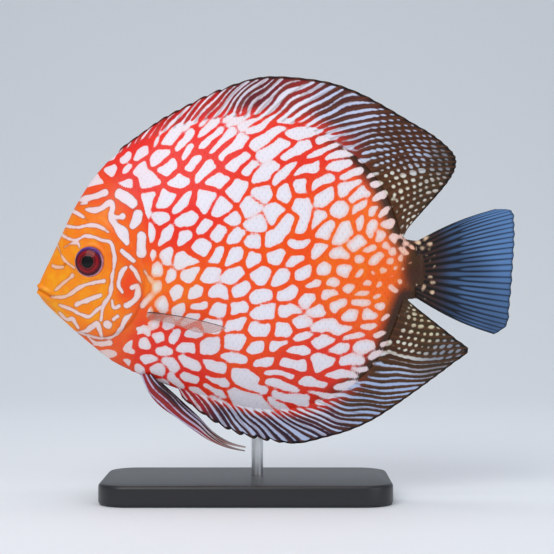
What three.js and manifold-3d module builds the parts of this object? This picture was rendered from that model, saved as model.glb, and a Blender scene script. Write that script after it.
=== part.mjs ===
// A discus fish at life size, swimming level with its fins spread, on a plain display stand.
// Millimetres, +Z up. The fish faces -X and its left side faces -Y.
// The origin is on the floor under the middle of the whole model.
import * as THREE from "three";
import { mergeVertices, mergeGeometries } from "three/addons/utils/BufferGeometryUtils.js";
import Module from "manifold-3d";

const wasm = await Module();
wasm.setup();

// Driving dimensions
const gap = 0.3; // left between any two nodes that touch
const bodyRing = 28; // points round one cross-section of the body
const bodySteps = 42; // cross-sections from the snout to the tail root
const peduncleEndX = 48.5;
const far = 60; // beyond the body on either side

// Body profile from snout to tail root: x, top, bottom, half of the thickness
const profile = [
  [-80.0, 69.6, 69.4, 0.0],
  [-79.4, 72.2, 67.2, 1.9],
  [-77.6, 76.3, 64.9, 3.0],
  [-75.0, 81.7, 62.3, 4.0],
  [-71.5, 89.4, 59.1, 5.1],
  [-67.5, 97.6, 55.5, 6.1],
  [-61.5, 107.0, 50.5, 7.5],
  [-55.0, 113.9, 45.5, 8.8],
  [-48.0, 118.6, 42.0, 10.0],
  [-41.0, 122.2, 39.1, 11.2],
  [-33.0, 125.2, 36.2, 12.2],
  [-24.0, 127.4, 32.9, 13.0],
  [-14.0, 128.6, 29.9, 13.2],
  [-4.5, 128.3, 28.2, 12.6],
  [5.5, 126.6, 28.2, 11.3],
  [14.5, 123.6, 30.2, 9.6],
  [23.0, 118.9, 34.0, 7.8],
  [30.0, 112.9, 39.6, 6.2],
  [35.7, 105.6, 47.0, 4.9],
  [39.4, 97.3, 55.0, 4.0],
  [41.8, 90.2, 61.9, 3.4],
  [43.6, 86.6, 65.9, 3.0],
  [48.5, 85.9, 66.6, 2.4],
];

// Dorsal rays from front to back: x at the root, then x and z at the tip
const dorsalKeys = [
  [-53.5, -52.2, 117.2],
  [-48.0, -45.8, 121.8],
  [-41.8, -38.8, 126.8],
  [-35.2, -30.6, 131.3],
  [-28.0, -20.2, 136.4],
  [-21.0, -9.6, 140.0],
  [-14.2, -1.9, 141.2],
  [-7.2, 8.9, 140.6],
  [-0.5, 19.0, 138.9],
  [5.6, 28.7, 135.3],
  [11.2, 37.4, 130.6],
  [17.0, 45.4, 125.8],
  [22.4, 52.2, 121.8],
  [27.0, 57.2, 117.8],
  [31.2, 60.1, 114.2],
  [34.5, 60.2, 110.6],
  [37.2, 58.4, 106.8],
  [39.4, 54.8, 102.2],
  [41.0, 49.6, 96.4],
  [42.4, 44.6, 90.8],
];

// Anal rays, likewise
const analKeys = [
  [-34.2, -31.6, 33.0],
  [-27.5, -22.2, 25.8],
  [-20.8, -12.4, 20.8],
  [-14.0, -2.2, 18.6],
  [-7.2, 7.2, 17.9],
  [-0.5, 16.3, 19.9],
  [5.6, 24.6, 22.3],
  [12.0, 32.7, 26.0],
  [18.0, 40.0, 30.7],
  [23.4, 46.8, 35.5],
  [28.4, 53.4, 40.3],
  [32.8, 59.2, 44.7],
  [36.4, 64.5, 49.2],
  [39.0, 60.0, 53.3],
  [41.0, 53.4, 58.5],
  [42.2, 47.2, 63.4],
  [43.2, 43.8, 66.2],
];

// Tail rays from top to bottom: z at the root, then x and z at the tip
const tailKeys = [
  [85.6, 73.6, 96.6],
  [83.6, 79.0, 96.0],
  [81.0, 79.9, 91.4],
  [78.6, 79.9, 85.6],
  [76.2, 79.5, 79.0],
  [73.8, 79.0, 71.6],
  [71.4, 78.3, 64.4],
  [68.9, 77.4, 57.8],
  [66.9, 73.2, 54.6],
];

// Catmull-Rom through rows of numbers at even parameters
function alongRows(rows, t) {
  const last = rows.length - 1;
  const s = Math.min(Math.max(t, 0), 1) * last;
  const i = Math.min(Math.floor(s), last - 1);
  const f = s - i;
  const at = (k) => rows[Math.min(Math.max(k, 0), last)];
  return rows[i].map((_, c) => {
    const [a, b, d, e] = [at(i - 1)[c], at(i)[c], at(i + 1)[c], at(i + 2)[c]];
    const square = 2 * a - 5 * b + 4 * d - e;
    const cube = 3 * b - a - 3 * d + e;
    return 0.5 * (2 * b + (d - a) * f + square * f ** 2 + cube * f ** 3);
  });
}

// The profile at a given x, by bisection on the even parameter
function profileAt(x) {
  let [low, high] = [0, 1];
  for (let i = 0; i < 30; i++) {
    const middle = (low + high) / 2;
    if (alongRows(profile, middle)[0] < x) low = middle;
    else high = middle;
  }
  return alongRows(profile, (low + high) / 2);
}

// The flank's half thickness at height s, from -1 at the belly edge to 1 at the back edge
function flankShape(s, bluntness) {
  return (1 - Math.abs(s) ** 2.2) ** (0.82 - 0.3 * bluntness);
}

// The half thickness of the body at a place on its side view
function halfThickness(x, z) {
  const [, top, bottom, wide] = profileAt(x);
  const s = (2 * z - top - bottom) / (top - bottom);
  return Math.abs(s) < 1 ? wide * flankShape(s, snoutBluntness(x)) : 0;
}

function snoutBluntness(x) {
  return Math.min(Math.max((-60 - x) / 18, 0), 1);
}

// A solid from vertices and triangles
function solidFrom(vertices, triangles) {
  return new wasm.Manifold(
    new wasm.Mesh({
      numProp: 3,
      vertProperties: new Float32Array(vertices.flat()),
      triVerts: new Uint32Array(triangles.flat()),
    }),
  );
}

// A closed skin over rings of equally many points, fanned shut at both ends
function skinOver(rings) {
  const n = rings[0].length;
  const vertices = rings.flat();
  const triangles = [];
  for (let i = 0; i < rings.length - 1; i++)
    for (let j = 0; j < n; j++) {
      const [a, b] = [i * n + j, i * n + ((j + 1) % n)];
      triangles.push([a, b, b + n], [a, b + n, a + n]);
    }
  const middle = (ring) => ring[0].map((_, c) => ring.reduce((sum, p) => sum + p[c], 0) / n);
  const end = (rings.length - 1) * n;
  vertices.push(middle(rings[0]), middle(rings[rings.length - 1]));
  for (let j = 0; j < n; j++) {
    const k = (j + 1) % n;
    triangles.push([vertices.length - 2, k, j], [vertices.length - 1, end + j, end + k]);
  }
  const made = solidFrom(vertices, triangles);
  return made.volume() > 0 ? made : solidFrom(vertices, triangles.map(([a, b, c]) => [a, c, b]));
}

// The whole body without fins, grown on every side
const firstSection = 0.008; // a little behind the very point of the snout
function bodySolid(grow) {
  const rings = [];
  for (let i = 0; i <= bodySteps; i++) {
    const [x, top, bottom, wide] = alongRows(profile, firstSection + ((1 - firstSection) * i) / bodySteps);
    const blunt = snoutBluntness(x);
    const [middle, half] = [(top + bottom) / 2, (top - bottom) / 2];
    const shift = i === 0 ? -grow : i === bodySteps ? grow : 0;
    rings.push(
      Array.from({ length: bodyRing }, (_, j) => {
        const turn = (2 * Math.PI * (j + 0.5)) / bodyRing;
        const s = Math.sin(turn);
        const side = Math.sign(Math.cos(turn));
        const y = side * (wide * flankShape(s, blunt) + Math.max(grow, -0.6 * wide));
        return [x + shift, y, middle + s * (half + grow)];
      }),
    );
  }
  return skinOver(rings);
}

// A geometry as a solid, its doubled points merged
function solidOf(geometry) {
  const bare = geometry.clone();
  bare.deleteAttribute("normal");
  bare.deleteAttribute("uv");
  const merged = mergeVertices(bare, 1e-4);
  const made = new wasm.Manifold(
    new wasm.Mesh({
      numProp: 3,
      vertProperties: merged.attributes.position.array,
      triVerts: new Uint32Array(merged.index.array),
    }),
  );
  return made;
}

// The largest closed surface of a solid
function largest(solid) {
  return solid.decompose().sort((a, b) => b.volume() - a.volume())[0];
}

function geometryOf(solid) {
  const mesh = solid.getMesh();
  const positions = new Float32Array(mesh.numVert * 3);
  for (let i = 0; i < mesh.numVert; i++)
    positions.set(mesh.vertProperties.subarray(i * mesh.numProp, i * mesh.numProp + 3), i * 3);
  return new THREE.BufferGeometry()
    .setAttribute("position", new THREE.BufferAttribute(positions, 3))
    .setIndex(new THREE.BufferAttribute(mesh.triVerts, 1));
}

// A prism across the body: an outline in x and z, from one y to another
function acrossPrism(points, fromY, toY) {
  const shape = new THREE.Shape(points.map(([x, z]) => new THREE.Vector2(x, z)));
  const prism = new THREE.ExtrudeGeometry(shape, { depth: toY - fromY, bevelEnabled: false });
  prism.rotateX(Math.PI / 2);
  prism.translate(0, toY, 0);
  return solidOf(prism);
}

// A smooth open line through points, as evenly many points
function smoothLine(points, count) {
  const places = points.map(([x, z]) => new THREE.Vector3(x, 0, z));
  const curve = new THREE.CatmullRomCurve3(places, false, "centripetal");
  return curve.getPoints(count).map((p) => [p.x, p.z]);
}

// A fin as a grid: place(u, v) is its middle surface, thick(u, v) half its thickness,
// and across(u, v) the way it is thick
function finSolid(columns, rows, place, thick, across = () => [0, 1, 0]) {
  const vertices = [];
  for (const side of [-1, 1])
    for (const u of columns)
      for (const v of rows) {
        const [p, t, d] = [place(u, v), thick(u, v), across(u, v)];
        vertices.push(p.map((c, k) => c + side * t * d[k]));
      }
  const [nu, nv] = [columns.length, rows.length];
  const half = nu * nv;
  const triangles = [];
  for (let i = 0; i < nu - 1; i++)
    for (let j = 0; j < nv - 1; j++) {
      const [a, b, c, d] = [i * nv + j, (i + 1) * nv + j, (i + 1) * nv + j + 1, i * nv + j + 1];
      triangles.push([a, b, c], [a, c, d]);
      triangles.push([half + a, half + c, half + b], [half + a, half + d, half + c]);
    }
  const rim = [];
  for (let i = 0; i < nu; i++) rim.push(i * nv);
  for (let j = 1; j < nv; j++) rim.push((nu - 1) * nv + j);
  for (let i = nu - 2; i >= 0; i--) rim.push(i * nv + nv - 1);
  for (let j = nv - 2; j > 0; j--) rim.push(j);
  rim.forEach((a, k) => {
    const b = rim[(k + 1) % rim.length];
    triangles.push([a, half + a, half + b], [a, half + b, b]);
  });
  const made = solidFrom(vertices, triangles);
  return made.volume() > 0 ? made : solidFrom(vertices, triangles.map(([a, b, c]) => [a, c, b]));
}

// The way a blade faces at a place on it
function bladeNormal(place, u, v) {
  const small = 0.02;
  const at = (s, t) => new THREE.Vector3(...place(Math.min(Math.max(s, 0), 1), Math.min(Math.max(t, 0), 1)));
  const ahead = at(u + small, Math.max(v, small)).sub(at(u - small, Math.max(v, small)));
  const outward = at(u, v + small).sub(at(u, v - small));
  return ahead.cross(outward).normalize().toArray();
}

// Columns of a fin's grid: each ray has a foot on both sides of its crest
function rayColumns(rays, footShare) {
  const columns = [];
  for (let r = 0; r < rays; r++) {
    const centre = (r + 0.5) / rays;
    columns.push(centre - footShare / rays, centre, centre + footShare / rays);
  }
  return [0, ...columns, 1];
}

// 1 on the crest of a ray and 0 between rays
function rayCrest(u, rays, footShare) {
  const off = Math.abs(u * rays - Math.floor(u * rays) - 0.5);
  return Math.max(0, 1 - off / footShare);
}

function evenSteps(count) {
  return Array.from({ length: count + 1 }, (_, i) => i / count);
}

const group = new THREE.Group();
function addNode(name, solid, colour, roughness) {
  const material = new THREE.MeshStandardMaterial({ color: colour, roughness, metalness: 0 });
  const mesh = new THREE.Mesh(geometryOf(largest(solid)), material);
  mesh.name = name;
  group.add(mesh);
}

const body = bodySolid(0);
const grownBody = bodySolid(gap);

// Dorsal and anal fins: rays bow a little, and the fin thins from its scaled root to its margin
const rayFoot = 0.2; // half of a ray's width as a share of the spacing
const rootDepth = 2.0; // how far the roots run into the body before they are cut off at its skin
const rootHalfThickness = 1.25;
const marginHalfThickness = 0.22;
const membraneHalfThickness = 0.27;
const sheathReach = 0.55; // share of the fin's height that the scaled sheath covers
function medianFin({ keys, up, rays, spines, rows, notch, bow, ridge }) {
  const place = (u, v) => {
    const [rootX, tipX, tipZ] = alongRows(keys, u);
    const [, top, bottom] = profileAt(rootX);
    const rootZ = up > 0 ? top - rootDepth : bottom + rootDepth;
    const spiny = u * rays < spines ? 1 : 0;
    const between = 1 - rayCrest(u, rays, 0.5);
    const reach = v * (1 - notch * spiny * between);
    const arch = bow * Math.sin(Math.PI * reach);
    const [dx, dz] = [tipX - rootX, tipZ - rootZ];
    return [rootX + dx * reach - dz * arch, 0, rootZ + dz * reach + dx * arch * up];
  };
  const thick = (u, v) => {
    const sheath = Math.max(0, 1 - v / sheathReach) ** 1.5;
    const membrane = membraneHalfThickness + (rootHalfThickness - membraneHalfThickness) * sheath;
    const crest = ridge * rayCrest(u, rays, rayFoot) * (1 - 0.75 * v);
    return v > 0.999 ? marginHalfThickness : membrane + crest;
  };
  return finSolid(rayColumns(rays, rayFoot), evenSteps(rows), place, thick).subtract(grownBody);
}

const dorsal = { keys: dorsalKeys, up: 1, rays: 27, spines: 9, rows: 5, notch: 0.12, bow: 0.05, ridge: 0.3 };
const anal = { keys: analKeys, up: -1, rays: 23, spines: 7, rows: 5, notch: 0.12, bow: 0.05, ridge: 0.3 };

// Tail fin: the rays fan out from the end of the tail root
const tail = { rays: 14, rows: 7, rootX: peduncleEndX + gap, fanning: 0.1, rootThicker: 1.6, ridge: 0.32 };
const tailFin = finSolid(
  rayColumns(tail.rays, rayFoot),
  evenSteps(tail.rows),
  (u, v) => {
    const [rootZ, tipX, tipZ] = alongRows(tailKeys, u);
    const fan = v + tail.fanning * Math.sin(Math.PI * v);
    return [tail.rootX + (tipX - tail.rootX) * v, 0, rootZ + (tipZ - rootZ) * fan];
  },
  (u, v) => {
    const sheath = Math.max(0, 1 - v / 0.35) ** 1.5;
    const edge = Math.min(1, 0.35 + 8 * Math.min(u, 1 - u));
    const membrane = membraneHalfThickness + tail.rootThicker * sheath * edge;
    const crest = tail.ridge * rayCrest(u, tail.rays, rayFoot) * (1 - 0.7 * v);
    return v > 0.999 ? marginHalfThickness : membrane + crest;
  },
);

// Pectoral fins: a clear fan held out from the flank behind the gill cover
const pectoral = {
  x: -42.6, z: 62.4, high: 2.6, sunk: 0.8, rays: 6, rows: 5, rayFoot: 0.3, ridge: 0.18,
  outerTip: [-15.2, 23.2, 57.6], innerTip: [-21.5, 17.2, 54.6], bend: 1.1, halfThickness: 0.26,
};
function pectoralFin(side) {
  const rootY = halfThickness(pectoral.x, pectoral.z) - pectoral.sunk;
  const place = (u, v) => {
    const spread = u * u * (3 - 2 * u);
    const root = [pectoral.x + 0.6 * u, rootY, pectoral.z - pectoral.high * u];
    const roundTip = 1 - 0.16 * (2 * u - 0.7) ** 2;
    const tip = pectoral.outerTip.map((c, k) => c + (pectoral.innerTip[k] - c) * spread);
    const bend = pectoral.bend * Math.sin(Math.PI * v);
    const p = root.map((c, k) => c + (tip[k] - c) * v * roundTip);
    return [p[0], side * (p[1] + 0.5 * bend), p[2] + bend * 0.6];
  };
  const across = (u, v) => bladeNormal(place, u, v);
  const thick = (u, v) => {
    const root = 0.35 * Math.max(0, 1 - v / 0.3);
    const crest = pectoral.ridge * rayCrest(u, pectoral.rays, pectoral.rayFoot) * (1 - v);
    return v > 0.999 ? marginHalfThickness : pectoral.halfThickness + root + crest;
  };
  return finSolid(rayColumns(pectoral.rays, pectoral.rayFoot), evenSteps(pectoral.rows), place, thick, across)
    .subtract(grownBody);
}

// Pelvic fins: a spine and a few rays folded back along the belly, drawn out into a thread
const pelvic = {
  rays: 4, rows: 7, rayFoot: 0.3, ridge: 0.3, halfThickness: 0.27, rootThicker: 0.45, rootY: 1.6, flare: 3.6,
  lower: [
    [-45.4, 41.4], [-42.6, 35.2], [-38.6, 30.6], [-33.4, 27.0],
    [-27.5, 22.8], [-22.2, 19.4], [-16.2, 17.0], [-10.6, 15.9],
  ],
  upper: [
    [-41.6, 41.2], [-38.2, 37.8], [-34.6, 34.4], [-31.0, 31.0],
    [-26.2, 26.4], [-21.2, 21.2], [-15.8, 17.9], [-10.4, 16.3],
  ],
};
function pelvicFin(side) {
  const place = (u, v) => {
    const [a, b] = [alongRows(pelvic.lower, v), alongRows(pelvic.upper, v)];
    const y = pelvic.rootY + pelvic.flare * Math.sin((Math.PI / 2) * v) + 0.5 * u;
    return [a[0] + (b[0] - a[0]) * u, side * y, a[1] + (b[1] - a[1]) * u];
  };
  const thick = (u, v) => {
    const crest = pelvic.ridge * rayCrest(u, pelvic.rays, pelvic.rayFoot) * (1 - v);
    return pelvic.halfThickness + pelvic.rootThicker * Math.max(0, 1 - v / 0.3) + crest;
  };
  return finSolid(rayColumns(pelvic.rays, pelvic.rayFoot), evenSteps(pelvic.rows), place, thick)
    .subtract(grownBody);
}

// Eyes: a ball set in its socket, standing a little proud of the cheek
const eye = { x: -61.7, z: 78.8, radius: 5.6, proud: 1.7, depth: 3.2, cheekTurn: 0.22 };
const eyeShown = 4.95; // radius of the ball where the cheek meets it
function eyeAt(side, grow) {
  const ball = new THREE.SphereGeometry(1, 20, 10);
  ball.rotateX(Math.PI / 2);
  ball.scale(eye.radius + grow, eye.depth + grow, eye.radius + grow);
  ball.rotateZ(side * eye.cheekTurn);
  ball.translate(eye.x, side * (halfThickness(eye.x, eye.z) + eye.proud - eye.depth), eye.z);
  return solidOf(ball);
}

// A ring of flesh round each eye
const eyeRimTube = 0.6;
const eyeRimSunk = 0.15;
function eyeRim(side) {
  const rim = new THREE.TorusGeometry(eyeShown + 0.4, eyeRimTube, 6, 22);
  rim.rotateX(Math.PI / 2);
  rim.rotateZ(side * eye.cheekTurn);
  rim.translate(eye.x, side * (halfThickness(eye.x, eye.z) - eyeRimSunk), eye.z);
  return solidOf(rim);
}

// Mouth: two lips round the front of the snout, with the slit between them
const mouth = {
  x: -80.0, z: 69.0, cornerX: -75.4, cornerZ: 67.2,
  slit: 0.5, slitRise: 1.1, lipRadius: 1.05, cornerRadius: 0.7,
};
const lipSteps = 10;
const lipSides = 7;
function lip(up) {
  const rings = [];
  for (let i = 0; i <= lipSteps; i++) {
    const turn = (i / lipSteps - 0.5) * Math.PI;
    const back = 1 - Math.cos(turn);
    const x = mouth.x + 0.75 + back * (mouth.cornerX - mouth.x - 0.6);
    const z = mouth.z + up * (0.95 - 0.3 * back) + back * (mouth.cornerZ - mouth.z);
    const y = Math.sin(turn) * (halfThickness(mouth.cornerX, mouth.cornerZ) - 0.1);
    const radius = mouth.lipRadius + (mouth.cornerRadius - mouth.lipRadius) * back;
    rings.push(
      Array.from({ length: lipSides }, (_, j) => {
        const a = (2 * Math.PI * j) / lipSides;
        const out = Math.cos(a) * radius;
        return [x - out * Math.cos(turn), y + out * Math.sin(turn), z + Math.sin(a) * radius];
      }),
    );
  }
  return skinOver(rings);
}
const slitFrontX = mouth.x - 4;
const slitFrontZ = mouth.z + mouth.slitRise;
const slitHalf = mouth.slit / 2;
const slitCornerHalf = 0.1;
const mouthSlit = acrossPrism(
  [
    [slitFrontX, slitFrontZ + slitHalf],
    [slitFrontX, slitFrontZ - slitHalf],
    [mouth.cornerX, mouth.cornerZ - slitCornerHalf],
    [mouth.cornerX, mouth.cornerZ + slitCornerHalf],
  ],
  -far,
  far,
);

// One nostril a side: a low rim with a pit
const nostril = { x: -70.4, z: 77.8, rim: 1.15, rimProud: 0.35, pit: 0.55, pitDeep: 0.9 };
function nostrilPiece(side, radius, deep, proud) {
  const dome = new THREE.CylinderGeometry(radius * 0.8, radius, deep + proud, 12);
  if (side > 0) dome.rotateX(Math.PI / 2);
  else dome.rotateX(-Math.PI / 2);
  dome.translate(nostril.x, side * (halfThickness(nostril.x, nostril.z) + (proud - deep) / 2), nostril.z);
  return solidOf(dome);
}

// Gill cover: a plate let into the side of the head, its back and lower edges standing proud
const gillCover = smoothLine(
  [
    [-54.6, 85.6], [-53.2, 78.0], [-54.2, 70.6], [-57.8, 63.2], [-60.6, 57.8], [-57.2, 55.4], [-52.6, 56.2],
    [-48.6, 59.4], [-45.4, 64.0], [-43.9, 70.2], [-43.8, 76.6], [-46.2, 82.6], [-50.4, 86.4],
  ],
  52,
);
const gillCentre = [-50.6, 70.8];
const grownOutline = gillCover.map(([x, z]) => {
  const [dx, dz] = [x - gillCentre[0], z - gillCentre[1]];
  const longer = 1 + gap / Math.hypot(dx, dz);
  return [gillCentre[0] + dx * longer, gillCentre[1] + dz * longer];
});
const plateProud = 0.5;
const plateDeep = 0.6;
const proudBody = bodySolid(plateProud);
const deepBody = bodySolid(-plateDeep);
const pocketBody = bodySolid(-plateDeep - gap);
function gillPlate(side) {
  const [a, b] = side > 0 ? [1, far] : [-far, -1];
  return proudBody.intersect(acrossPrism(gillCover, a, b)).subtract(deepBody);
}
function gillPocket(side) {
  const [a, b] = side > 0 ? [1, far] : [-far, -1];
  return acrossPrism(grownOutline, a, b).subtract(pocketBody);
}

// The cut behind the gills that parts the head from the trunk, and the one before the tail root
const [frontX, rearX, floorZ, skyZ] = [-100, 90, 0, 160]; // a box round the whole model
const neckLine = smoothLine(
  [[-52.0, 124.0], [-47.0, 100.0], [-43.2, 84.0], [-42.9, 70.0], [-46.0, 60.5], [-52.0, 53.6], [-59.5, 40.0]],
  24,
);
const headSide = acrossPrism([...neckLine, [frontX, neckLine[24][1]], [frontX, neckLine[0][1]]], -far, far);
const shiftedNeck = neckLine.map(([x, z]) => [x + gap, z]).reverse();
const trunkOutline = [...shiftedNeck, [rearX, skyZ], [rearX, floorZ], [shiftedNeck[0][0], floorZ]];
const trunkSide = acrossPrism(trunkOutline, -far, far);
const tailCutX = 41.0;
function slab(fromX, toX) {
  return acrossPrism([[fromX, floorZ], [toX, floorZ], [toX, skyZ], [fromX, skyZ]], -far, far);
}
const behindCut = slab(tailCutX + gap, rearX);
const beforeCut = slab(frontX, tailCutX);

// Stand: a flat base and one rod that rises beside the anal fin into a socket in the lower flank
const stand = {
  x: -10.0, long: 96, wide: 50, high: 7, corner: 10, bevel: 1.2,
  rodX: -6.5, rodY: 6.0, rodRadius: 2.0, rodTop: 50, rodSides: 20,
};
const baseShape = new THREE.Shape();
const [bl, bw, bc] = [stand.long / 2 - stand.bevel, stand.wide / 2 - stand.bevel, stand.corner];
baseShape.moveTo(-bl + bc, -bw);
baseShape.lineTo(bl - bc, -bw);
baseShape.absarc(bl - bc, -bw + bc, bc, -Math.PI / 2, 0);
baseShape.lineTo(bl, bw - bc);
baseShape.absarc(bl - bc, bw - bc, bc, 0, Math.PI / 2);
baseShape.lineTo(-bl + bc, bw);
baseShape.absarc(-bl + bc, bw - bc, bc, Math.PI / 2, Math.PI);
baseShape.lineTo(-bl, -bw + bc);
baseShape.absarc(-bl + bc, -bw + bc, bc, Math.PI, 1.5 * Math.PI);
const baseGeometry = new THREE.ExtrudeGeometry(baseShape, {
  depth: stand.high - 2 * stand.bevel,
  bevelEnabled: true,
  bevelThickness: stand.bevel,
  bevelSize: stand.bevel,
  bevelSegments: 2,
  curveSegments: 5,
});
baseGeometry.translate(stand.x, 0, stand.bevel);

function rodSolid(radius, from, to) {
  const rod = new THREE.CylinderGeometry(radius, radius, to - from, stand.rodSides);
  rod.rotateX(Math.PI / 2);
  rod.translate(stand.rodX, stand.rodY, (from + to) / 2);
  return solidOf(rod);
}
const socket = rodSolid(stand.rodRadius + gap, 0, stand.rodTop + gap);

// Colours and finishes
const orange = 0xf07a10;
const fleshRoughness = 0.45;
const finRoughness = 0.35;
const finish = {
  trunk: [0xe8401c, fleshRoughness],
  eye: [0x5a0a14, 0.1],
  clearFin: [0xd8a090, 0.3],
  pelvicFin: [0x701820, finRoughness],
  medianFin: [0x5a2a18, finRoughness],
  tailFin: [0x3b65a0, finRoughness],
  base: [0x202224, 0.4],
  rod: [0xb8babd, 0.25],
};

// Nodes
let head = body.intersect(headSide);
for (const side of [-1, 1])
  head = head.add(eyeRim(side)).add(nostrilPiece(side, nostril.rim, 1, nostril.rimProud));
head = head.add(lip(1)).add(lip(-1)).subtract(mouthSlit);
for (const side of [-1, 1]) {
  head = head
    .subtract(nostrilPiece(side, nostril.pit, nostril.pitDeep, 1))
    .subtract(eyeAt(side, gap))
    .subtract(gillPocket(side));
}
addNode("head", head, orange, fleshRoughness);
addNode("torso", body.intersect(trunkSide).intersect(beforeCut).subtract(socket), ...finish.trunk);
addNode("tail_base", body.intersect(behindCut), orange, fleshRoughness);
for (const [side, word] of [[-1, "left"], [1, "right"]]) {
  addNode("gill_cover_" + word, gillPlate(side), orange, fleshRoughness);
  addNode("eye_" + word, eyeAt(side, 0), ...finish.eye);
  addNode("pectoral_fin_" + word, pectoralFin(side), ...finish.clearFin);
  addNode("pelvic_fin_" + word, pelvicFin(side), ...finish.pelvicFin);
}
addNode("dorsal_fin", medianFin(dorsal), ...finish.medianFin);
addNode("anal_fin", medianFin(anal), ...finish.medianFin);
addNode("caudal_fin", tailFin, ...finish.tailFin);
addNode("stand_base", solidOf(baseGeometry), ...finish.base);
addNode("stand_rod", rodSolid(stand.rodRadius, stand.high + gap, stand.rodTop), ...finish.rod);

export default group;
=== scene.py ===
import math

import bpy
import numpy as np
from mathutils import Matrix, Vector


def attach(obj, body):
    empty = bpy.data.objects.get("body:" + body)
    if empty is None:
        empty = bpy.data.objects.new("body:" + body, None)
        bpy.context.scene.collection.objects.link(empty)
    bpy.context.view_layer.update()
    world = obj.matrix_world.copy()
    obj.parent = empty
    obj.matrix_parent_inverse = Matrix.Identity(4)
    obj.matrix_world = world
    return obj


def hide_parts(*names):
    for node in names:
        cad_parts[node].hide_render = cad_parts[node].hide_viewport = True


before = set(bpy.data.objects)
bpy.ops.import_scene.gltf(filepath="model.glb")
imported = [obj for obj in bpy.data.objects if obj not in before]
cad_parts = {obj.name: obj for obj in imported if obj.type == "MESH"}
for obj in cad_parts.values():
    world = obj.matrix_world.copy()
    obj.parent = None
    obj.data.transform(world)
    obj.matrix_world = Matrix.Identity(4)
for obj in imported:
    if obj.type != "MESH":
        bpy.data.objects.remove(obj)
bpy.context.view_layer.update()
mm = 0.001  # shapes are worked out in millimetres and put into their meshes in metres
print("frame loaded")


# The fish's own shape, as in the part: x, top, bottom, half of the thickness
profile = np.array([
    [-80.0, 69.6, 69.4, 0.0], [-79.4, 72.2, 67.2, 1.9], [-77.6, 76.3, 64.9, 3.0], [-75.0, 81.7, 62.3, 4.0],
    [-71.5, 89.4, 59.1, 5.1], [-67.5, 97.6, 55.5, 6.1], [-61.5, 107.0, 50.5, 7.5], [-55.0, 113.9, 45.5, 8.8],
    [-48.0, 118.6, 42.0, 10.0], [-41.0, 122.2, 39.1, 11.2], [-33.0, 125.2, 36.2, 12.2],
    [-24.0, 127.4, 32.9, 13.0], [-14.0, 128.6, 29.9, 13.2], [-4.5, 128.3, 28.2, 12.6],
    [5.5, 126.6, 28.2, 11.3], [14.5, 123.6, 30.2, 9.6], [23.0, 118.9, 34.0, 7.8], [30.0, 112.9, 39.6, 6.2],
    [35.7, 105.6, 47.0, 4.9], [39.4, 97.3, 55.0, 4.0], [41.8, 90.2, 61.9, 3.4], [43.6, 86.6, 65.9, 3.0],
    [48.5, 85.9, 66.6, 2.4],
])


def alongRows(rows, t):
    # Catmull-Rom through rows of numbers, at many places at once
    rows = np.asarray(rows, float)
    last = len(rows) - 1
    s = np.clip(t, 0, 1) * last
    i = np.minimum(np.floor(s).astype(int), last - 1)
    f = (s - i)[..., None]
    a, b, d, e = (rows[np.clip(i + k, 0, last)] for k in (-1, 0, 1, 2))
    return 0.5 * (2 * b + (d - a) * f + (2 * a - 5 * b + 4 * d - e) * f**2 + (3 * b - a - 3 * d + e) * f**3)


profileFine = alongRows(profile, np.linspace(0, 1, 2000))
flank = {"fullness": 2.2, "roundness": 0.82, "blunter": 0.3, "bluntFrom": -60, "bluntOver": 18}


def profileAt(x):
    return tuple(np.interp(x, profileFine[:, 0], profileFine[:, k]) for k in (1, 2, 3))


def flankShape(s, x):
    # share of the thickness at s, which runs from -1 at the belly to 1 at the back
    bluntness = np.clip((flank["bluntFrom"] - x) / flank["bluntOver"], 0, 1)
    power = flank["roundness"] - flank["blunter"] * bluntness
    return np.maximum(1 - np.abs(s) ** flank["fullness"], 0) ** power


def halfThickness(x, z):
    top, bottom, wide = profileAt(x)
    s = (2 * z - top - bottom) / (top - bottom)
    return wide * flankShape(np.clip(s, -1, 1), x)


def smooth(low, high, value):
    # 0 at low, 1 at high, and an even rise between
    t = np.clip((value - low) / (high - low), 0, 1)
    return t * t * (3 - 2 * t)


def curveThrough(points, steps=12):
    # a smooth line through given points
    return alongRows(points, np.linspace(0, 1, steps * (len(points) - 1) + 1))


def bell(value, width):
    return np.exp(-(value / width) ** 2)  # 1 at zero, falling off on both sides


def between(a, b, share):
    return a + (b - a) * share[:, None]  # rows of numbers from a to b, by a share for each row


def toSegment(a, b, x, z):
    # how far along from a to b places come nearest, and their distance from there
    dx, dz = b[0] - a[0], b[1] - a[1]
    t = np.clip(((x - a[0]) * dx + (z - a[1]) * dz) / max(dx * dx + dz * dz, 1e-9), 0, 1)
    return t, np.hypot(x - a[0] - t * dx, z - a[1] - t * dz)


def distanceTo(line, x, z):
    # distance to a line on the side view, and which side of it, above zero on its left
    best = np.full(np.shape(x), 1e9)
    side = np.zeros(np.shape(x))
    for a, b in zip(line[:-1], line[1:]):
        d = toSegment(a, b, x, z)[1]
        left = np.sign((b[0] - a[0]) * (z - a[1]) - (b[1] - a[1]) * (x - a[0]))
        side = np.where(d < best, left, side)
        best = np.minimum(d, best)
    return best, side


def readGrid(field, i, j):
    # a grid's values at places between its points
    i, j = (np.clip(place, 0, size - 1.001) for place, size in zip((i, j), field.shape))
    i0, j0 = i.astype(int), j.astype(int)
    fi, fj = i - i0, j - j0
    low = field[i0, j0] * (1 - fj) + field[i0, j0 + 1] * fj
    high = field[i0 + 1, j0] * (1 - fj) + field[i0 + 1, j0 + 1] * fj
    return low * (1 - fi) + high * fi


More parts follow.
